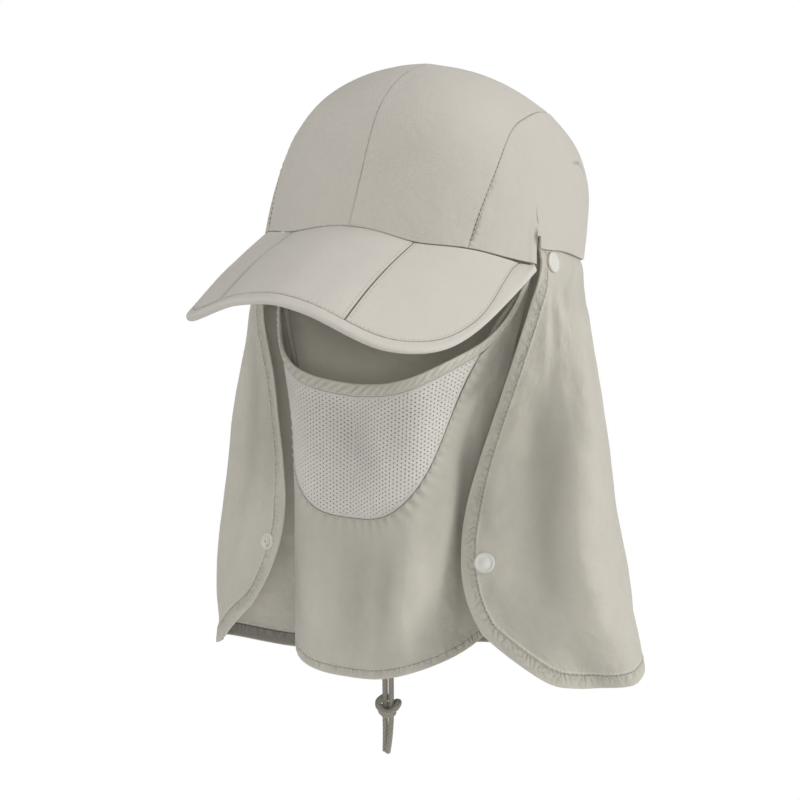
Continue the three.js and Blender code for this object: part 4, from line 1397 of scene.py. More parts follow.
    def panel(self, angles: Array, low: Array, high: Array, shares: Array,
              seams: Sequence[str], hems: Sequence[str], mirror: bool, seed: int,
              pucker: float, centre: bool = False) -> Cloth:
        """Makes one panel.

        Args:
            angles: Angles of its columns.
            low: Rise of its lower edge at each angle.
            high: Rise of its upper edge.
            shares: Places of its rows between the two.
            seams: Sewn sides among low, high, first and last.
            hems: Free sides among them.
            mirror: Whether it lies on the wearer's right.
            seed: Which soft waves it has.
            pucker: Height of the puckers along the side seam.
            centre: Whether it starts at the centre seam.

        Returns:
            The cloth.
        """
        rises = between(low, high, shares)
        turned = np.broadcast_to(angles[None], rises.shape)
        points, normals = CROWN.lay(turned, rises)
        if centre:
            points[..., 0] = np.maximum(points[..., 0], 0) + self.seam_gap / 2
        edges = {"low": points[0], "high": points[-1], "first": points[:, 0], "last": points[:, -1]}
        start = CROWN.side_seam[0][0]
        edges["front_low"] = points[0, angles <= start + 0.01]
        edges["seam_low"] = points[0, angles >= start - 0.01]
        height, depth, looks = self.relief(
            points, angles, {key: Line(edges[key]) for key in seams},
            [Line(edges[key]) for key in hems], pucker, seed)
        x, y, z = np.moveaxis(points, -1, 0)
        if centre:
            level = z + 20.0
            place = np.arctan2(x, np.hypot(y, level)) * 95.0, np.arctan2(level, -y) * 100.0
        else:
            place = np.radians(angles) * 98.0, z * 1.05
            if angles[0] < CROWN.slit_front:
                move, shade = self.slit(points, angles, mirror)
                height = height + move
                # The seam look also takes the painted shade of the slit's hollow and the pinch.
                looks["seam"] = np.maximum(looks["seam"], shade)
        looks["grain"] = stacked(*place, 3.0 * seed)
        if mirror:
            points = points * (-1, 1, 1)
            normals = normals * (-1, 1, 1)
        return Cloth(points, normals, height, depth, looks)

    def build(self, finish: Paints) -> None:
        """Makes the five panels and the stitches of the side seams."""
        start = CROWN.side_seam[0][0]
        seam = Curve(CROWN.side_seam)
        rows: Rows = []
        base = lambda turns: CROWN.point(turns, self.even_rise + 0 * turns)
        columns = (*self.slit_columns, CROWN.slit_front, CROWN.slit_front + self.slit_cut,
                   CROWN.slit_back - self.slit_cut, CROWN.slit_back)
        turns = np.linspace(start + self.stitch_start, self.stitch_end, 60)
        on_seam, lift = CROWN.lay(turns, seam(turns))
        for mirror, side in ((False, "left"), (True, "right")):
            flip = np.array((-1.0 if mirror else 1.0, 1.0, 1.0))
            angles = evenly_along(base, 0.0, 180.0, self.step, EDGE_STEPS, keep=(start,))
            low = np.where(angles < start, CROWN.rim_rise(angles), seam(angles) + self.side_gap)
            shares = shares_over(self.front_length, self.step, EDGE_STEPS)
            cloth = self.panel(angles, low, CROWN.top_rise + 0 * low, shares,
                               ("first", "last", "seam_low"), ("front_low",), mirror,
                               11 + mirror, self.front_pucker, centre=True)
            Piece.of_cloth(f"crown_front_{side}_panel", cloth).dress(
                finish["crown"], "crown_cloth", [f"crown_front_{side}"])
            rows.append(self.stitch.row(on_seam * flip - lift * flip * self.stitch_sink, lift * flip))

            angles = evenly_along(base, start + self.side_start, CROWN.back_seam_angle - self.back_gap,
                                  self.step, EDGE_STEPS, keep=columns)
            shares = shares_over(self.side_length, self.step, EDGE_STEPS)
            cloth = self.panel(angles, CROWN.rim_rise(angles), seam(angles) - self.side_gap, shares,
                               ("high", "last"), ("low",), mirror, 21 + mirror, self.side_pucker)
            Piece.of_cloth(f"crown_side_{side}_panel", cloth).dress(
                finish["crown"], "crown_cloth", [f"crown_side_{side}"])

        turn = CROWN.back_seam_angle + self.back_gap
        angles = evenly_along(base, turn, 360 - turn, self.step, EDGE_STEPS)
        turned = np.where(angles > 180, 360 - angles, angles)
        shares = shares_over(self.back_length, self.step, EDGE_STEPS)
        cloth = self.panel(angles, CROWN.rim_rise(angles), seam(turned) - self.back_gap, shares,
                           ("high", "first", "last"), ("low",), False, 31, self.back_pucker)
        Piece.of_cloth("crown_back_panel", cloth).dress(finish["crown"], "crown_cloth", ["crown_back"])
        # The side seams' stitches use the near-black thread as painted shade of their needle holes.
        Piece("crown_stitching", *together(rows)).dress(finish["dark_thread"], "crown_cloth")


@dataclass
class Brim:
    """Folding brim: three foam plates in cloth, and a thick stitched edge round them."""

    step: float = 1.3
    crease_round: float = 0.5
    groove_round: float = 0.5
    groove_gap: float = 0.1
    pillow: float = 0.2
    pillow_reach: float = 7.0
    swell: float = 3.0
    stitch_in: float = 1.2
    # How much farther in the rows beside the creases run, and the stitches' places that they
    # leave free at both ends
    crease_stitch_in: float = 0.6
    crease_ends: int = 4
    # Length that a plate's rows step over, and how far out its columns step evenly
    plate_length: float = 80.0
    even_out: float = 0.8
    band_step: float = 0.8
    band_fine: tuple = (0.04, 0.15, 0.35, 0.65, 1.05, 1.55, 2.1)
    stitch: Stitch = field(default_factory=Stitch)

    def cloth(self, sides: Array, outs: Array, low: Array, high: Array, half: float,
              seed: int, free: bool) -> tuple[Cloth, dict[str, Array]]:
        """Plate or band between two lines out from the crown.

        Args:
            sides: Side angles of its columns.
            outs: Places of its rows between the lines.
            low: Inner line at each side angle.
            high: Outer line.
            half: Half of its thickness.
            seed: Which soft waves it has.
            free: Whether its outer line is the brim's free edge.

        Returns:
            The cloth, and its distances to its edges by name.
        """
        out = between(low, high, outs)
        side = np.broadcast_to(sides[None], out.shape)
        points, normals = BRIM.lay(side, out)
        lines = {"first": Line(points[:, 0]), "last": Line(points[:, -1]),
                 "inner": Line(points[0]), "outer": Line(points[-1])}
        far = {key: line.nearest(points)[0] for key, line in lines.items()}
        ends = np.minimum(far["first"], far["last"])
        if free:
            thin = BRIM.plate / 2
            half = thin + (half - thin) * smooth_step(far["inner"] / self.swell)
            wall = rounded(ends, 1.5) * rounded(far["outer"], BRIM.band / 2)
            wall = wall * (0.8 + 0.2 * rounded(far["inner"], self.groove_round))
        else:
            wall = rounded(ends, self.crease_round)
            wall = wall * (0.8 + 0.2 * rounded(far["outer"], self.groove_round))
        near = np.minimum(ends, far["outer"])
        puff = self.pillow * (1 - np.exp(-near / self.pillow_reach)) if not free else 0.0
        soft = 0.12 * ripples(points, 40.0, seed)
        along = lines["outer"].nearest(points)[1]
        waves = np.sin(TURN * along / 7.0 + 1.5 * np.sin(along * 0.045))
        edge = far["outer"] if not free else far["inner"]
        soft = soft + 0.07 * waves * np.exp(-edge / 4.0)
        groove = 0.14 * bell(near - self.stitch_in, 0.6) if not free else 0.0
        above = half * wall + (puff + soft - groove) * wall
        below = half * wall + (puff - soft - 0.5 * groove) * wall
        seam = 0.8 * bell(far["inner"] if free else near, 0.35)
        wear = bell(far["outer"], 1.6) if free else 0.0 * near
        grain = stacked(points[..., 0], -points[..., 1], 5.0 * seed)
        return Cloth(points, normals, above, below, {"seam": seam, "wear": wear, "grain": grain}), far

    def build(self, finish: Paints) -> None:
        """Makes the plates, the band and their stitches."""
        crease = BRIM.crease - BRIM.crease_gap
        wing = BRIM.crease + BRIM.crease_gap
        edge = lambda turns: BRIM.point(turns, self.even_out + 0 * turns)
        outs = shares_over(self.plate_length, self.step, EDGE_STEPS)
        ends = slice(self.crease_ends, -self.crease_ends)
        rows: Rows = []
        spans = (("center", -crease, crease), ("left", wing, BRIM.panel_end - 1),
                 ("right", 1 - BRIM.panel_end, -wing))
        for number, (name, first, last) in enumerate(spans):
            sides = evenly_along(edge, first, last, self.step, EDGE_STEPS)
            low = 0.0 * sides
            cloth, far = self.cloth(sides, outs, low, BRIM.line_out(sides, -self.groove_gap),
                                    BRIM.plate / 2, 41 + number, False)
            Piece.of_cloth(f"brim_plate_{name}", cloth).dress(
                finish["brim"], "brim_cloth", [f"brim_panel_{name}"])
            line, normals = cloth.trace(far["outer"], self.stitch_in, True, rows=BACKWARDS)
            rows.append(self.stitch.row(line, normals))
            for key, bare, order in (("last", "left", BACKWARDS), ("first", "right", ALL)):
                if name != bare:
                    line, normals = cloth.trace(far[key], self.stitch_in + self.crease_stitch_in,
                                                False, columns=order)
                    rows.append(self.stitch.row(line[ends], normals[ends]))
        sides = evenly_along(lambda turns: BRIM.point(turns, 1.0 + 0 * turns), -BRIM.end, BRIM.end,
                             self.step, EDGE_STEPS)
        band_outs = shares_over(BRIM.band_width, self.band_step, self.band_fine)
        cloth, _ = self.cloth(sides, band_outs, BRIM.line_out(sides, self.groove_gap),
                              1.0 + 0 * sides, BRIM.band / 2, 47, True)
        Piece.of_cloth("brim_edge_roll", cloth).dress(finish["brim"], "brim_cloth", ["brim_edge_band"])
        Piece("brim_stitching", *together(rows)).dress(finish["thread"], "brim_cloth")


@dataclass(frozen=True)
class Crease:
    """Soft ridge or valley of a cloth, between two places on it."""

    start: tuple[float, float]
    end: tuple[float, float]
    width: float
    depth: float
    # Whether its crest is a sharp fold
    sharp: bool = False

    def height(self, across: Array, up: Array) -> Array:
        """Height of the crease at places on the cloth, in millimetres.

        Args:
            across: Place across the cloth.
            up: Height in space.

        Returns:
            The height, negative in a valley.
        """
        start, end = np.asarray(self.start), np.asarray(self.end)
        run = end - start
        offset = stacked(across - start[0], up - start[1])
        share = np.clip((offset @ run) / float(run @ run), 0, 1)
        gap = np.linalg.norm(offset - share[..., None] * run, axis=-1)
        taper = np.sin(math.pi * np.clip(0.12 + 0.76 * share, 0, 1))
        if self.sharp:
            return self.depth * taper * np.exp((1.5 - np.hypot(gap, 1.5)) / self.width)
        return self.depth * taper * bell(gap, self.width)


@dataclass
class NeckCape:
    """Cape from the crown's rear rim down over neck and shoulders, hemmed all round."""

    step: float = 1.8
    half: float = 0.6
    # Way from the edge to the row of stitches at the top of the front edges, and lower down
    upper_stitch_in: float = 5.8
    stitch_in: float = 7.8
    wide_from: float = -90.0
    wide_over: float = 50.0
    # Painted shade in the folds' hollows and painted highlight on their crests
    hollow_shade: float = 0.9
    crest_shine: float = 0.9
    # Where the painted shade and highlight of the front flaps' folds begin, across from the back's
    # middle
    shade_from: float = 180.0
    shade_over: float = 24.0
    tape_shade: float = 2.2
    hem_lift: float = 0.3
    pucker: float = 0.3
    pucker_length: float = 5.4
    measure_height: float = -150.0
    # Length that the rows step over, and the flat sheet's height in metres
    drop: float = 262.0
    flat_height: float = 0.28
    # Rows and columns by an edge that the traced rows of stitches leave out
    edge_lines: int = 9
    # How far the cape fills out under the crown's rim, and how deep
    fill: float = 1.4
    fill_depth: float = 30.0
    # Creases: start across from the back's middle and up, end, width, depth, sharp crest
    creases: tuple = (
        ((226, -30), (201, -110), 9.0, 2.6, True), ((201, -104), (194, -208), 9.0, 3.0, True),
        ((228, -66), (220, -150), 9.0, -1.8), ((212, -82), (211, -134), 7.0, -1.9),
        ((247, -176), (236, -224), 9.0, -1.5), ((213, -120), (216, -190), 8.0, -1.5),
        ((200, -24), (186, -190), 13.0, 1.4), ((236, -170), (228, -215), 8.0, -0.9),
        ((250, -60), (249, -160), 7.0, 1.0), ((238, -12), (214, -62), 4.0, -0.9),
        ((236, -10), (203, -48), 4.0, 0.9), ((232, -10), (190, -34), 4.5, -0.8),
        ((241, -14), (228, -74), 4.5, 1.0), ((258, -118), (248, -146), 3.5, -0.7),
        ((262, -140), (250, -154), 3.0, 0.6), ((258, -186), (246, -170), 3.5, -0.6),
        ((222, -190), (215, -232), 8.0, -1.0), ((200, -180), (205, -232), 8.0, 0.9),
        ((-262, -20), (-240, -150), 9.0, -1.4), ((-240, -40), (-228, -140), 15.0, -2.4),
        ((-250, -40), (-228, -190), 11.0, 1.5), ((-258, -120), (-249, -150), 4.0, 0.8),
        ((-256, -178), (-246, -214), 5.0, -0.9), ((-190, -60), (-180, -230), 16.0, 1.6),
        ((-90, -60), (-96, -240), 18.0, -1.8), ((70, -50), (64, -240), 18.0, 1.7),
    )
    stitch: Stitch = field(default_factory=Stitch)

    def cloth(self) -> tuple[Cloth, Array]:
        """Makes the cloth, and its distance to its open edge as a share of the stitches' distance."""
        level = lambda t: CAPE.point(t, self.measure_height + 0 * t)
        alongs = evenly_along(level, -1.0, 1.0, self.step, EDGE_STEPS)
        shares = shares_over(self.drop, self.step, EDGE_STEPS)
        top, bottom = CAPE.top(np.abs(alongs)), CAPE.bottom(alongs)
        heights = between(top, bottom, shares)
        along = np.broadcast_to(alongs[None], heights.shape)
        points, normals = CAPE.lay(along, heights)
        across = arc_lengths(level(alongs))
        across = np.broadcast_to((across - np.interp(0.0, alongs, across))[None], heights.shape)
        open_edge = Line(np.concatenate([points[:, 0], points[-1, 1:-1], points[::-1, -1]]))
        far, place = open_edge.nearest(points)
        row = self.upper_stitch_in + (self.stitch_in - self.upper_stitch_in) \
            * smooth_step((self.wide_from - heights) / self.wide_over)
        upper = Line(points[0]).nearest(points)[0]
        relief = sum(Crease(*row).height(across, heights) for row in self.creases)
        relief = relief + 0.5 * ripples(points, 60.0, 51) + 0.12 * ripples(points, 20.0, 52)
        calm = smooth_step(upper / 12.0)
        under = CAPE.top(np.abs(along)) - CAPE.tuck - heights
        relief = relief + self.fill * smooth_step(under / 2.5) * bell(under, self.fill_depth)
        flat = 1 - smooth_step((far - row - 0.9) / 1.2)
        uneven = 0.6 + 0.4 * np.sin(place * 0.043 + 1.3) * np.sin(place * 0.019)
        phase = TURN * (place + 0.7 * far) / self.pucker_length + 2.2 * np.sin(place * 0.06)
        waves = self.pucker * uneven * np.sin(phase) * bell(far - row + 2.8, 4.0)
        rim = rounded(np.minimum(far, upper), self.half)
        move = (relief + waves) * calm
        above = self.half * rim + move + self.hem_lift * flat * rim * calm
        below = self.half * rim - move + self.hem_lift * flat * rim * calm
        calm_back = smooth_step((np.abs(across) - self.shade_from) / self.shade_over)
        # Painted shade in the fold hollows goes into the seam look, painted highlight on the crests into
        # the wear look, on the front flaps only.
        seam = self.hollow_shade * np.clip(-relief / 2.5, 0, 1.0) * calm_back
        # Darker band on the inner face along the hem.
        inner_hem_band = self.tape_shade * (1 - smooth_step((far - row) / 0.6)) * smooth_step((upper - 20) / 40)
        painted_crest_highlight = self.crest_shine * np.clip(relief / 2.5, 0, 1.2) * calm * calm_back
        looks = {"seam": seam, "wear": np.maximum(bell(far, 0.9), painted_crest_highlight),
                 "hem": stacked(far / row, place, 0),
                 "grain": stacked(across, heights, 0)}
        cloth = Cloth(points, normals, above, below, looks, {"seam": np.maximum(seam, inner_hem_band)})
        return cloth, far / row

    def build(self, finish: Paints) -> None:
        """Makes the cape and its stitches."""
        cloth, far = self.cloth()
        piece = Piece.of_cloth("neck_cape_cloth", cloth).dress(
            finish["cape"], "cape_cloth", ["neck_cape"])
        turns = np.linspace(-1, 1, 400)
        width = arc_lengths(CAPE.point(turns, CAPE.bottom(turns)))[-1] * MM
        cloth.area()
        edge = self.edge_lines
        lines = [cloth.trace(far, 1.0, True, rows=BACKWARDS, columns=slice(edge, -edge))]
        for order in (ALL, BACKWARDS):
            lines.append(cloth.trace(far, 1.0, False, rows=slice(None, -edge), columns=order))
        stitches = together(self.stitch.row(*line) for line in lines)
        Piece("cape_stitching", *stitches).dress(finish["thread"], "cape_cloth")


@dataclass
class FaceVeil:
    """Veil across the face: a gathered band, a panel of airy mesh in a U and plain cloth round it."""

    step: float = 1.4
    half: float = 0.5
    hole_pitch: float = 2.35
    hole_radius: float = 0.47
    hole_sides: int = 6
    margin: float = 0.7
    hem_stitch_in: float = 5.0
    seam_stitch_in: float = 1.7
    band_stitch_in: float = 1.3
    band_step: float = 0.9
    band_row_step: float = 0.6
    # Height at which lengths across the veil are measured
    rule_height: float = -95.0
    # Length that the plain cloth's rows step over, and the flat sheet's size in metres
    drop: float = 92.0
    flat: tuple[float, float] = (0.232, 0.235)
    body_columns: int = 301
    # Distance from gather to gather, and how high and how far they run from the mesh's seam
    gather_length: float = 5.6
    gather_height: float = 1.1
    gather_reach: float = 4.5
    # Waves of the hem: distance from crest to crest, height and place in from its edge
    hem_wave: float = 6.5
    hem_wave_height: float = 0.16
    hem_wave_in: float = 4.5
    stitch: Stitch = field(default_factory=lambda: Stitch(length=2.0, gap=0.8, radius=0.17))
    # Creases: start across from the veil's middle and up, end, width, depth, sharp crest
    creases: tuple = (
        ((82, -62), (60, -72), 3.5, -0.8), ((86, -58), (64, -86), 4.0, 0.8),
        ((36, -148), (33, -208), 6.0, 2.0, True), ((43, -152), (41, -204), 8.0, 1.6),
        ((25, -150), (22, -212), 6.0, -1.3), ((57, -134), (54, -212), 6.0, 1.5),
        ((73, -104), (70, -204), 6.0, -2.0), ((66, -104), (64, -150), 7.0, 1.4),
        ((4, -150), (-4, -222), 10.0, -1.0), ((-24, -146), (-20, -222), 10.0, 1.1),
        ((-50, -130), (-44, -215), 9.0, -1.2), ((84, -110), (80, -205), 8.0, -0.6),
        ((30, -176), (40, -214), 4.0, 0.9), ((14, -80), (30, -128), 9.0, 1.9, True),
        ((-10, -76), (8, -112), 9.0, -1.2),
    )

    def rule(self) -> tuple[Array, Array]:
        """Places from the veil's middle to an end, and the length up to each of them."""
        places = np.linspace(0, 1, 400)
        return places, arc_lengths(VEIL.point(places, self.rule_height + 0 * places))

    def across(self, along: Array) -> Array:
        """Length along the veil from its middle, at the mesh's height."""
        places, lengths = self.rule()
        return np.sign(along) * np.interp(np.abs(along), places, lengths)

    def along(self, across: Array) -> Array:
        """Place along the veil at a length from its middle."""
        places, lengths = self.rule()
        return np.sign(across) * np.interp(np.abs(across), lengths, places)

    def relief(self, across: Array, height: Array) -> Array:
        """Soft folds that run through all of the veil's cloths."""
        points = stacked(across, height, 0)
        folds = sum(Crease(*row).height(across, height) for row in self.creases)
        return folds + 0.35 * ripples(points, 45.0, 61) + 0.1 * ripples(points, 16.0, 62)

    def band(self, finish: Paints) -> Rows:
        """Makes the gathered band; gives its row of stitches."""
        edge = lambda t: VEIL.point(t, VEIL.band_top(t))
        alongs = evenly_along(edge, -1.0, 1.0, self.band_step, EDGE_STEPS)
        depth = VEIL.band_depth
        shares = shares_over(depth, self.band_row_step, EDGE_STEPS[:4])
        top = VEIL.band_top(alongs)
        heights = top[None] - depth * shares[:, None]
        along = np.broadcast_to(alongs[None], heights.shape)
        points, normals = VEIL.lay(along, heights)
        place = arc_lengths(edge(alongs))[None]
        down = depth * shares[:, None]
        inside = np.sin(math.pi * shares)[:, None]
        gather = np.sin(TURN * (place + 1.1 * down) / self.gather_length
                        + 1.8 * np.sin(place * 0.11))
        gather = gather * (0.55 + 0.45 * np.sin(place * 0.031 + 0.6) ** 2)
        puff = 0.9 * inside ** 0.6
        rim = rounded(np.minimum(down, depth - down) + 0 * place, self.half)
        fold = 0.5 * gather * inside
        above = (self.half + puff) * rim + fold
        below = (self.half + 0.1) * rim - fold
        across = self.across(along)
        # Seam look: the seam line at the band's lower edge, and painted shade in the gathers' valleys;
        # wear look: lighter all over, most at the top edge.
        seam = 0.5 * bell(depth - down, 0.4) + 0.5 * np.clip(-gather, 0, 1) * inside
        looks = {"seam": seam, "wear": 0.8 + bell(down, 1.2) + 0 * place,
                 "grain": stacked(across, heights, 3.0)}
        cloth = Cloth(points, normals, above, below, looks)
        Piece.of_cloth("veil_band_cloth", cloth).dress(finish["veil"], "veil_cloth", ["veil_band"])
        line, lifts = cloth.trace(down + 0 * place, depth - self.band_stitch_in, True)
        return [self.stitch.row(line, lifts)]

    def outline(self) -> Array:
        """Edge of the mesh panel on the flat: across and height."""
        turns = np.linspace(-1, 1, 150)
        seam = Curve(VEIL.seam)(np.abs(turns))
        lower = stacked(self.across(np.sign(turns) * seam[:, 0]), seam[:, 1])
        tops = np.linspace(VEIL.seam[0][1], -VEIL.seam[0][1], 120)[1:-1]
        upper = stacked(self.across(tops), VEIL.band_line(tops))
        return np.concatenate([lower, upper])

    def hole_centres(self, outline: Array, rim: Line) -> Array:
        """Centres of the holes: rows that stand half a pitch apart, clear of the panel's edge."""
        low, high = outline.min(0), outline.max(0)
        pitch, rise = self.hole_pitch, self.hole_pitch * math.sqrt(3) / 2
        centres = np.asarray([(x, y + (column % 2) * pitch / 2)
                              for column, x in enumerate(np.arange(low[0], high[0], rise))
                              for y in np.arange(low[1] - pitch, high[1], pitch)])
        inside = np.zeros(len(centres), bool)
        for (x0, y0), (x1, y1) in zip(outline, np.roll(outline, -1, axis=0)):
            crossing = (y0 > centres[:, 1]) != (y1 > centres[:, 1])
            at = x0 + (centres[:, 1] - y0) * (x1 - x0) / (y1 - y0 if y1 != y0 else 1e-9)
            inside ^= crossing & (centres[:, 0] < at)
        far = rim.nearest(stacked(centres[:, 0], centres[:, 1], 0))[0]
        return centres[inside & (far > self.hole_radius + self.margin)]

    def cut(self, outline: Array, centres: Array) -> tuple[Array, list[Sequence[int]]]:
        """Cuts the flat panel into faces that leave its holes open.

        Args:
            outline: Edge of the panel.
            centres: Centres of its holes.

        Returns:
            Flat points and the faces between them.
        """
        turns = (np.arange(self.hole_sides) + 0.5) * TURN / self.hole_sides
        ring = self.hole_radius * stacked(np.cos(turns), np.sin(turns))
        holes = (centres[:, None] + ring[None]).reshape(-1, 2)
        count = len(outline)
        edges = [(i, (i + 1) % count) for i in range(count)]
        for first in range(count, count + len(holes), self.hole_sides):
            edges += [(first + i, first + (i + 1) % self.hole_sides) for i in range(self.hole_sides)]
        flat = [Vector(place) for place in np.concatenate([outline, holes])]
        found = delaunay_2d_cdt(flat, edges, [list(range(count))], 1, 1e-5)
        origin = np.asarray([ids[0] if ids else -1 for ids in found[3]])
        hole_of = np.where(origin >= count, (origin - count) // self.hole_sides, -1 - origin)
        faces = [face for face in found[2]
                 if not (hole_of[face[0]] >= 0 and len({hole_of[v] for v in face}) == 1)]
        return np.asarray([tuple(v) for v in found[0]]), faces

    def mesh(self, finish: Paints) -> None:
        """Makes the mesh panel with its rows of holes."""
        outline = self.outline()
        closed = np.vstack([outline, outline[:1]])
        rim = Line(stacked(closed[:, 0], closed[:, 1], 0))
        places, faces = self.cut(outline, self.hole_centres(outline, rim))
        along, height = self.along(places[:, 0]), places[:, 1]
        points, normals = VEIL.lay(along, height)
        far = rim.nearest(stacked(places[:, 0], height, 0))[0]
        calm = smooth_step(far / 8.0)
        relief = self.relief(places[:, 0], height) * calm
        shift = relief[:, None] * normals
        total = len(places)
        outer = points + normals * self.half + shift
        inner = points - normals * self.half + shift
        edges = [pair for face in faces for pair in zip(face, face[1:] + face[:1])]
        shared = set(edges)
        solid = [list(face) for face in faces] + [[v + total for v in face[::-1]] for face in faces]
        solid += [[b, a, a + total, b + total] for a, b in edges if (b, a) not in shared]
        corner = faces[len(faces) // 2]
        turned = np.cross(outer[corner[1]] - outer[corner[0]], outer[corner[2]] - outer[corner[0]])
        if float(turned @ normals[corner[0]]) < 0:
            solid = [face[::-1] for face in solid]
        grain = stacked(places[:, 0], height, 4.0)
        # Seam look: the panel's edge seam and painted shade in the fold hollows; wear look: painted
        # highlight on the fold crests.
        looks = {"grain": np.concatenate([grain, grain]),
                 "seam": np.tile(np.maximum(0.5 * bell(far, 0.6), -relief * 0.25), 2),
                 "wear": np.tile(np.clip(relief * 0.6, 0, 1.5), 2)}
        Piece("veil_mesh_panel", np.concatenate([outer, inner]), solid, looks, 35.0).dress(
            finish["mesh"], "veil_mesh", ["veil_mesh"])

    def body_grid(self, turns: Array) -> tuple[Array, Array]:
        """Lays the plain cloth's grid from the mesh panel's seam out to the hem and the sides.

        Args:
            turns: Places of its columns along the seam, from one end (-1) to the other (1).

        Returns:
            Place along the veil and height of each point.
        """
        half = np.abs(turns)
        seam = Curve(VEIL.seam)(half)
        down = half / VEIL.seam_corner
        side = (half - VEIL.seam_corner) / (1 - VEIL.seam_corner)
        side_end = Curve(VEIL.hem)(1.0)
        side_end = side_end + (VEIL.band_line(np.array(1.0)) - side_end) * side
        end_along = np.where(side < 0, down, 1.0)
        end_height = np.where(side < 0, Curve(VEIL.hem)(down), side_end)
        start_along = seam[:, 0] + VEIL.seam_gap * np.minimum(1, 2 * down)
        out = shares_over(self.drop, self.step, EDGE_STEPS)[:, None]
        along = start_along[None] * (1 - out) + end_along[None] * out
        height = (seam[:, 1] - VEIL.seam_drop)[None] * (1 - out) + end_height[None] * out
        ends = VEIL.band_line(np.array([VEIL.seam[0][1], 1.0]))
        straight = ends[0] * (1 - out) + ends[1] * out
        bend = VEIL.band_line(along) - straight - VEIL.seam_step
        height = height + bend * np.maximum(0.0, 2 * side - 1)[None]
        return along * np.where(turns < 0, -1.0, 1.0)[None], height

    def body(self, finish: Paints) -> Rows:
        """Makes the plain cloth round the mesh; gives its rows of stitches."""
        turns = np.linspace(-1, 1, self.body_columns)
        half = np.abs(turns)
        along, height = self.body_grid(turns)
        points, normals = VEIL.lay(along, height)
        across = self.across(along)
        u_seam = Line(points[0])
        hem = Line(points[-1, half <= VEIL.seam_corner + 0.01])
        sides = Line(points[-1])
        top = Line(points[:, 0]), Line(points[:, -1])
        far, place = u_seam.nearest(points)
        hem_far, hem_place = hem.nearest(points)
        rim_far = np.minimum(sides.nearest(points)[0], far)
        for line in top:
            rim_far = np.minimum(rim_far, line.nearest(points)[0])
        gathers = np.sin(TURN * place / self.gather_length + 1.6 * np.sin(place * 0.09))
        gathers = gathers * (0.5 + 0.5 * np.sin(place * 0.027 + 0.4) ** 2)
        flat = 1 - smooth_step((hem_far - 6.0) / 1.2)
        ripple = np.sin(TURN * hem_place / self.hem_wave + 2.0 * np.sin(hem_place * 0.08))
        rim = rounded(rim_far, self.half)
        move = self.relief(across, height) * smooth_step(rim_far / 10.0)
        gathers = gathers * np.exp(-far / self.gather_reach) * smooth_step(far / 1.2)
        move = move + self.gather_height * gathers
        move = move + self.hem_wave_height * ripple * bell(hem_far - self.hem_wave_in, 4)
        ridge = 0.15 * (1 - smooth_step((far - 2.6) / 1.0))
        groove = 0.1 * bell(far - 1.7, 0.6)
        extra = (0.3 * flat + ridge - groove) * rim
        above = self.half * rim + move + extra
        below = self.half * rim - move + 0.3 * flat * rim
        # Painted shade in the folds' hollows and the gathers' valleys, and painted highlight on their
        # crests.
        hollow = -self.relief(across, height) / 2.5
        seam_look = np.maximum(1.5 * bell(far, 0.45),
                               np.clip(0.9 * hollow - 0.6 * gathers, 0, 1.5))
        painted_crest_highlight = np.clip(0.6 * gathers - 1.3 * hollow, 0, 1.5)
        looks = {"seam": seam_look, "wear": np.maximum(bell(hem_far, 0.9), painted_crest_highlight),
                 "hem": stacked(hem_far / self.hem_stitch_in, hem_place, 0),
                 "grain": stacked(across, height, 2.0)}
        cloth = Cloth(points, normals, above, below, looks)
        piece = Piece.of_cloth("veil_body_cloth", cloth).dress(
            finish["veil"], "veil_cloth", ["veil_body"])
        cloth.area()
        middle = half <= VEIL.seam_corner - 0.03
        lines = (cloth.trace(far, self.seam_stitch_in, True),
                 cloth.trace(hem_far, self.hem_stitch_in, True, rows=BACKWARDS, columns=middle))
        return [self.stitch.row(*line) for line in lines]

    def build(self, finish: Paints) -> None:
        """Makes the band, the mesh, the plain cloth and their stitches."""
        rows = self.band(finish)
        self.mesh(finish)
        rows += self.body(finish)
        Piece("veil_stitching", *together(rows)).dress(finish["thread"], "veil_cloth")


class SnapHalf(Enum):
    """Half of a press stud that shows."""

    CAP = "cap"
    RING = "ring"


@dataclass(frozen=True)
class Snap:
    """Press stud on the cape."""

    name: str
    half: SnapHalf
    side: int
    along: float
    height: float
    lift: float


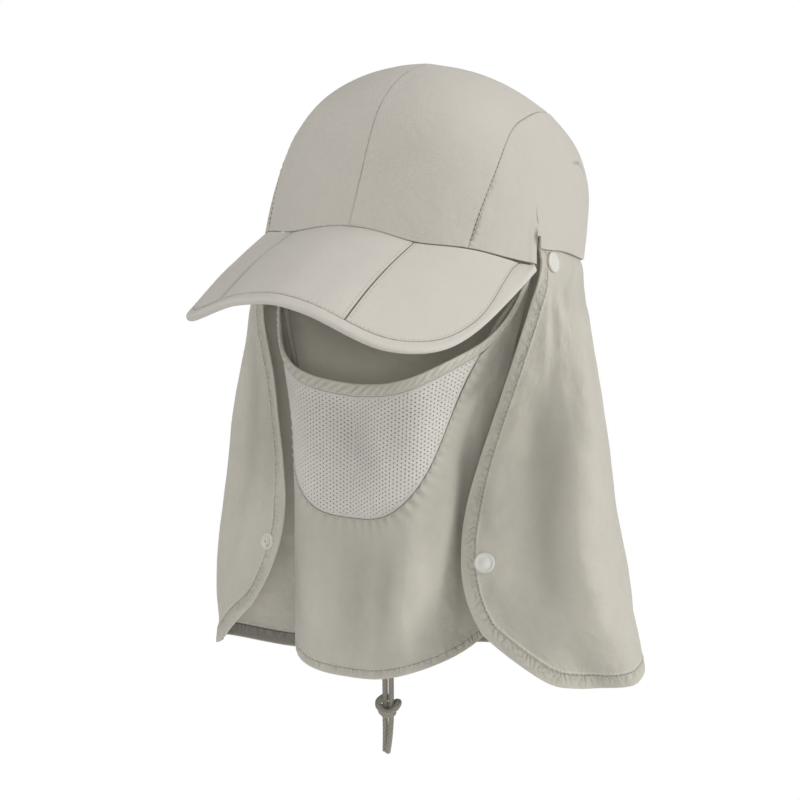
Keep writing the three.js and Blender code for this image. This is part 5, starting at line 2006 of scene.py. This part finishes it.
@dataclass
class Fastenings:
    """Resin press studs: caps by the temples and at one front corner, a ring at the other."""

    sides: int = 48
    cap: tuple = ((0, 0), (5.3, 0), (5.65, 0.15), (5.8, 0.5), (5.82, 1.0), (5.7, 1.35), (5.4, 1.62),
                  (5.0, 1.72), (4.6, 1.66), (4.3, 1.56), (3.6, 1.52), (2.4, 1.62), (1.2, 1.7),
                  (0, 1.72))
    ring: tuple = ((0, 0), (4.6, 0), (4.75, 0.3), (4.75, 1.0), (4.55, 1.35), (4.1, 1.5), (3.6, 1.4),
                   (3.3, 0.95), (3.0, 0.8), (2.3, 0.85), (2.1, 1.2), (2.1, 2.0), (1.9, 2.3),
                   (1.6, 2.4), (1.2, 2.35), (0.95, 2.1), (0.9, 1.2), (0, 1.1))
    places: tuple = (
        Snap("snap_top_left", SnapHalf.CAP, 1, 0.937, -1.2, 1.15),
        Snap("snap_top_right", SnapHalf.CAP, -1, 0.937, -1.2, 1.15),
        Snap("snap_cap_left", SnapHalf.CAP, 1, 0.955, -161.5, 0.55),
        Snap("snap_stud_right", SnapHalf.RING, -1, 0.968, -164.5, 0.7),
    )

    def build(self, finish: Paints) -> None:
        """Makes each press stud and sets it on the cape."""
        for snap in self.places:
            profile = self.cap if snap.half is SnapHalf.CAP else self.ring
            shape, faces = lathe(profile, self.sides)
            along, height = np.array(snap.side * snap.along), np.array(snap.height)
            at, normal = CAPE.lay(along, height)
            turn = np.array(Vector((0, 0, 1)).rotation_difference(Vector(normal)).to_matrix())
            placed = shape @ turn.T + at + normal * (CAPE.cloth / 2 + snap.lift)
            radius = np.hypot(shape[:, 0], shape[:, 1])
            wear = bell(radius - max(r for r, _ in profile), 0.5)
            Piece(f"{snap.name}_resin", placed, faces, {"wear": wear}, 40.0).dress(
                finish["snap"], "snap_plastic", [snap.name])


def main() -> None:
    """Builds the studio and the cap, piece by piece."""
    logging.basicConfig(level=logging.INFO, format="%(name)s: %(message)s")
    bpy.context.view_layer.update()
    Studio().build()
    finish = Finishes().all()
    ChinCord().build(finish)
    for assembly in (Crown(), Brim(), NeckCape(), FaceVeil(), Fastenings()):
        assembly.build(finish)


if __name__ == "__main__":
    main()
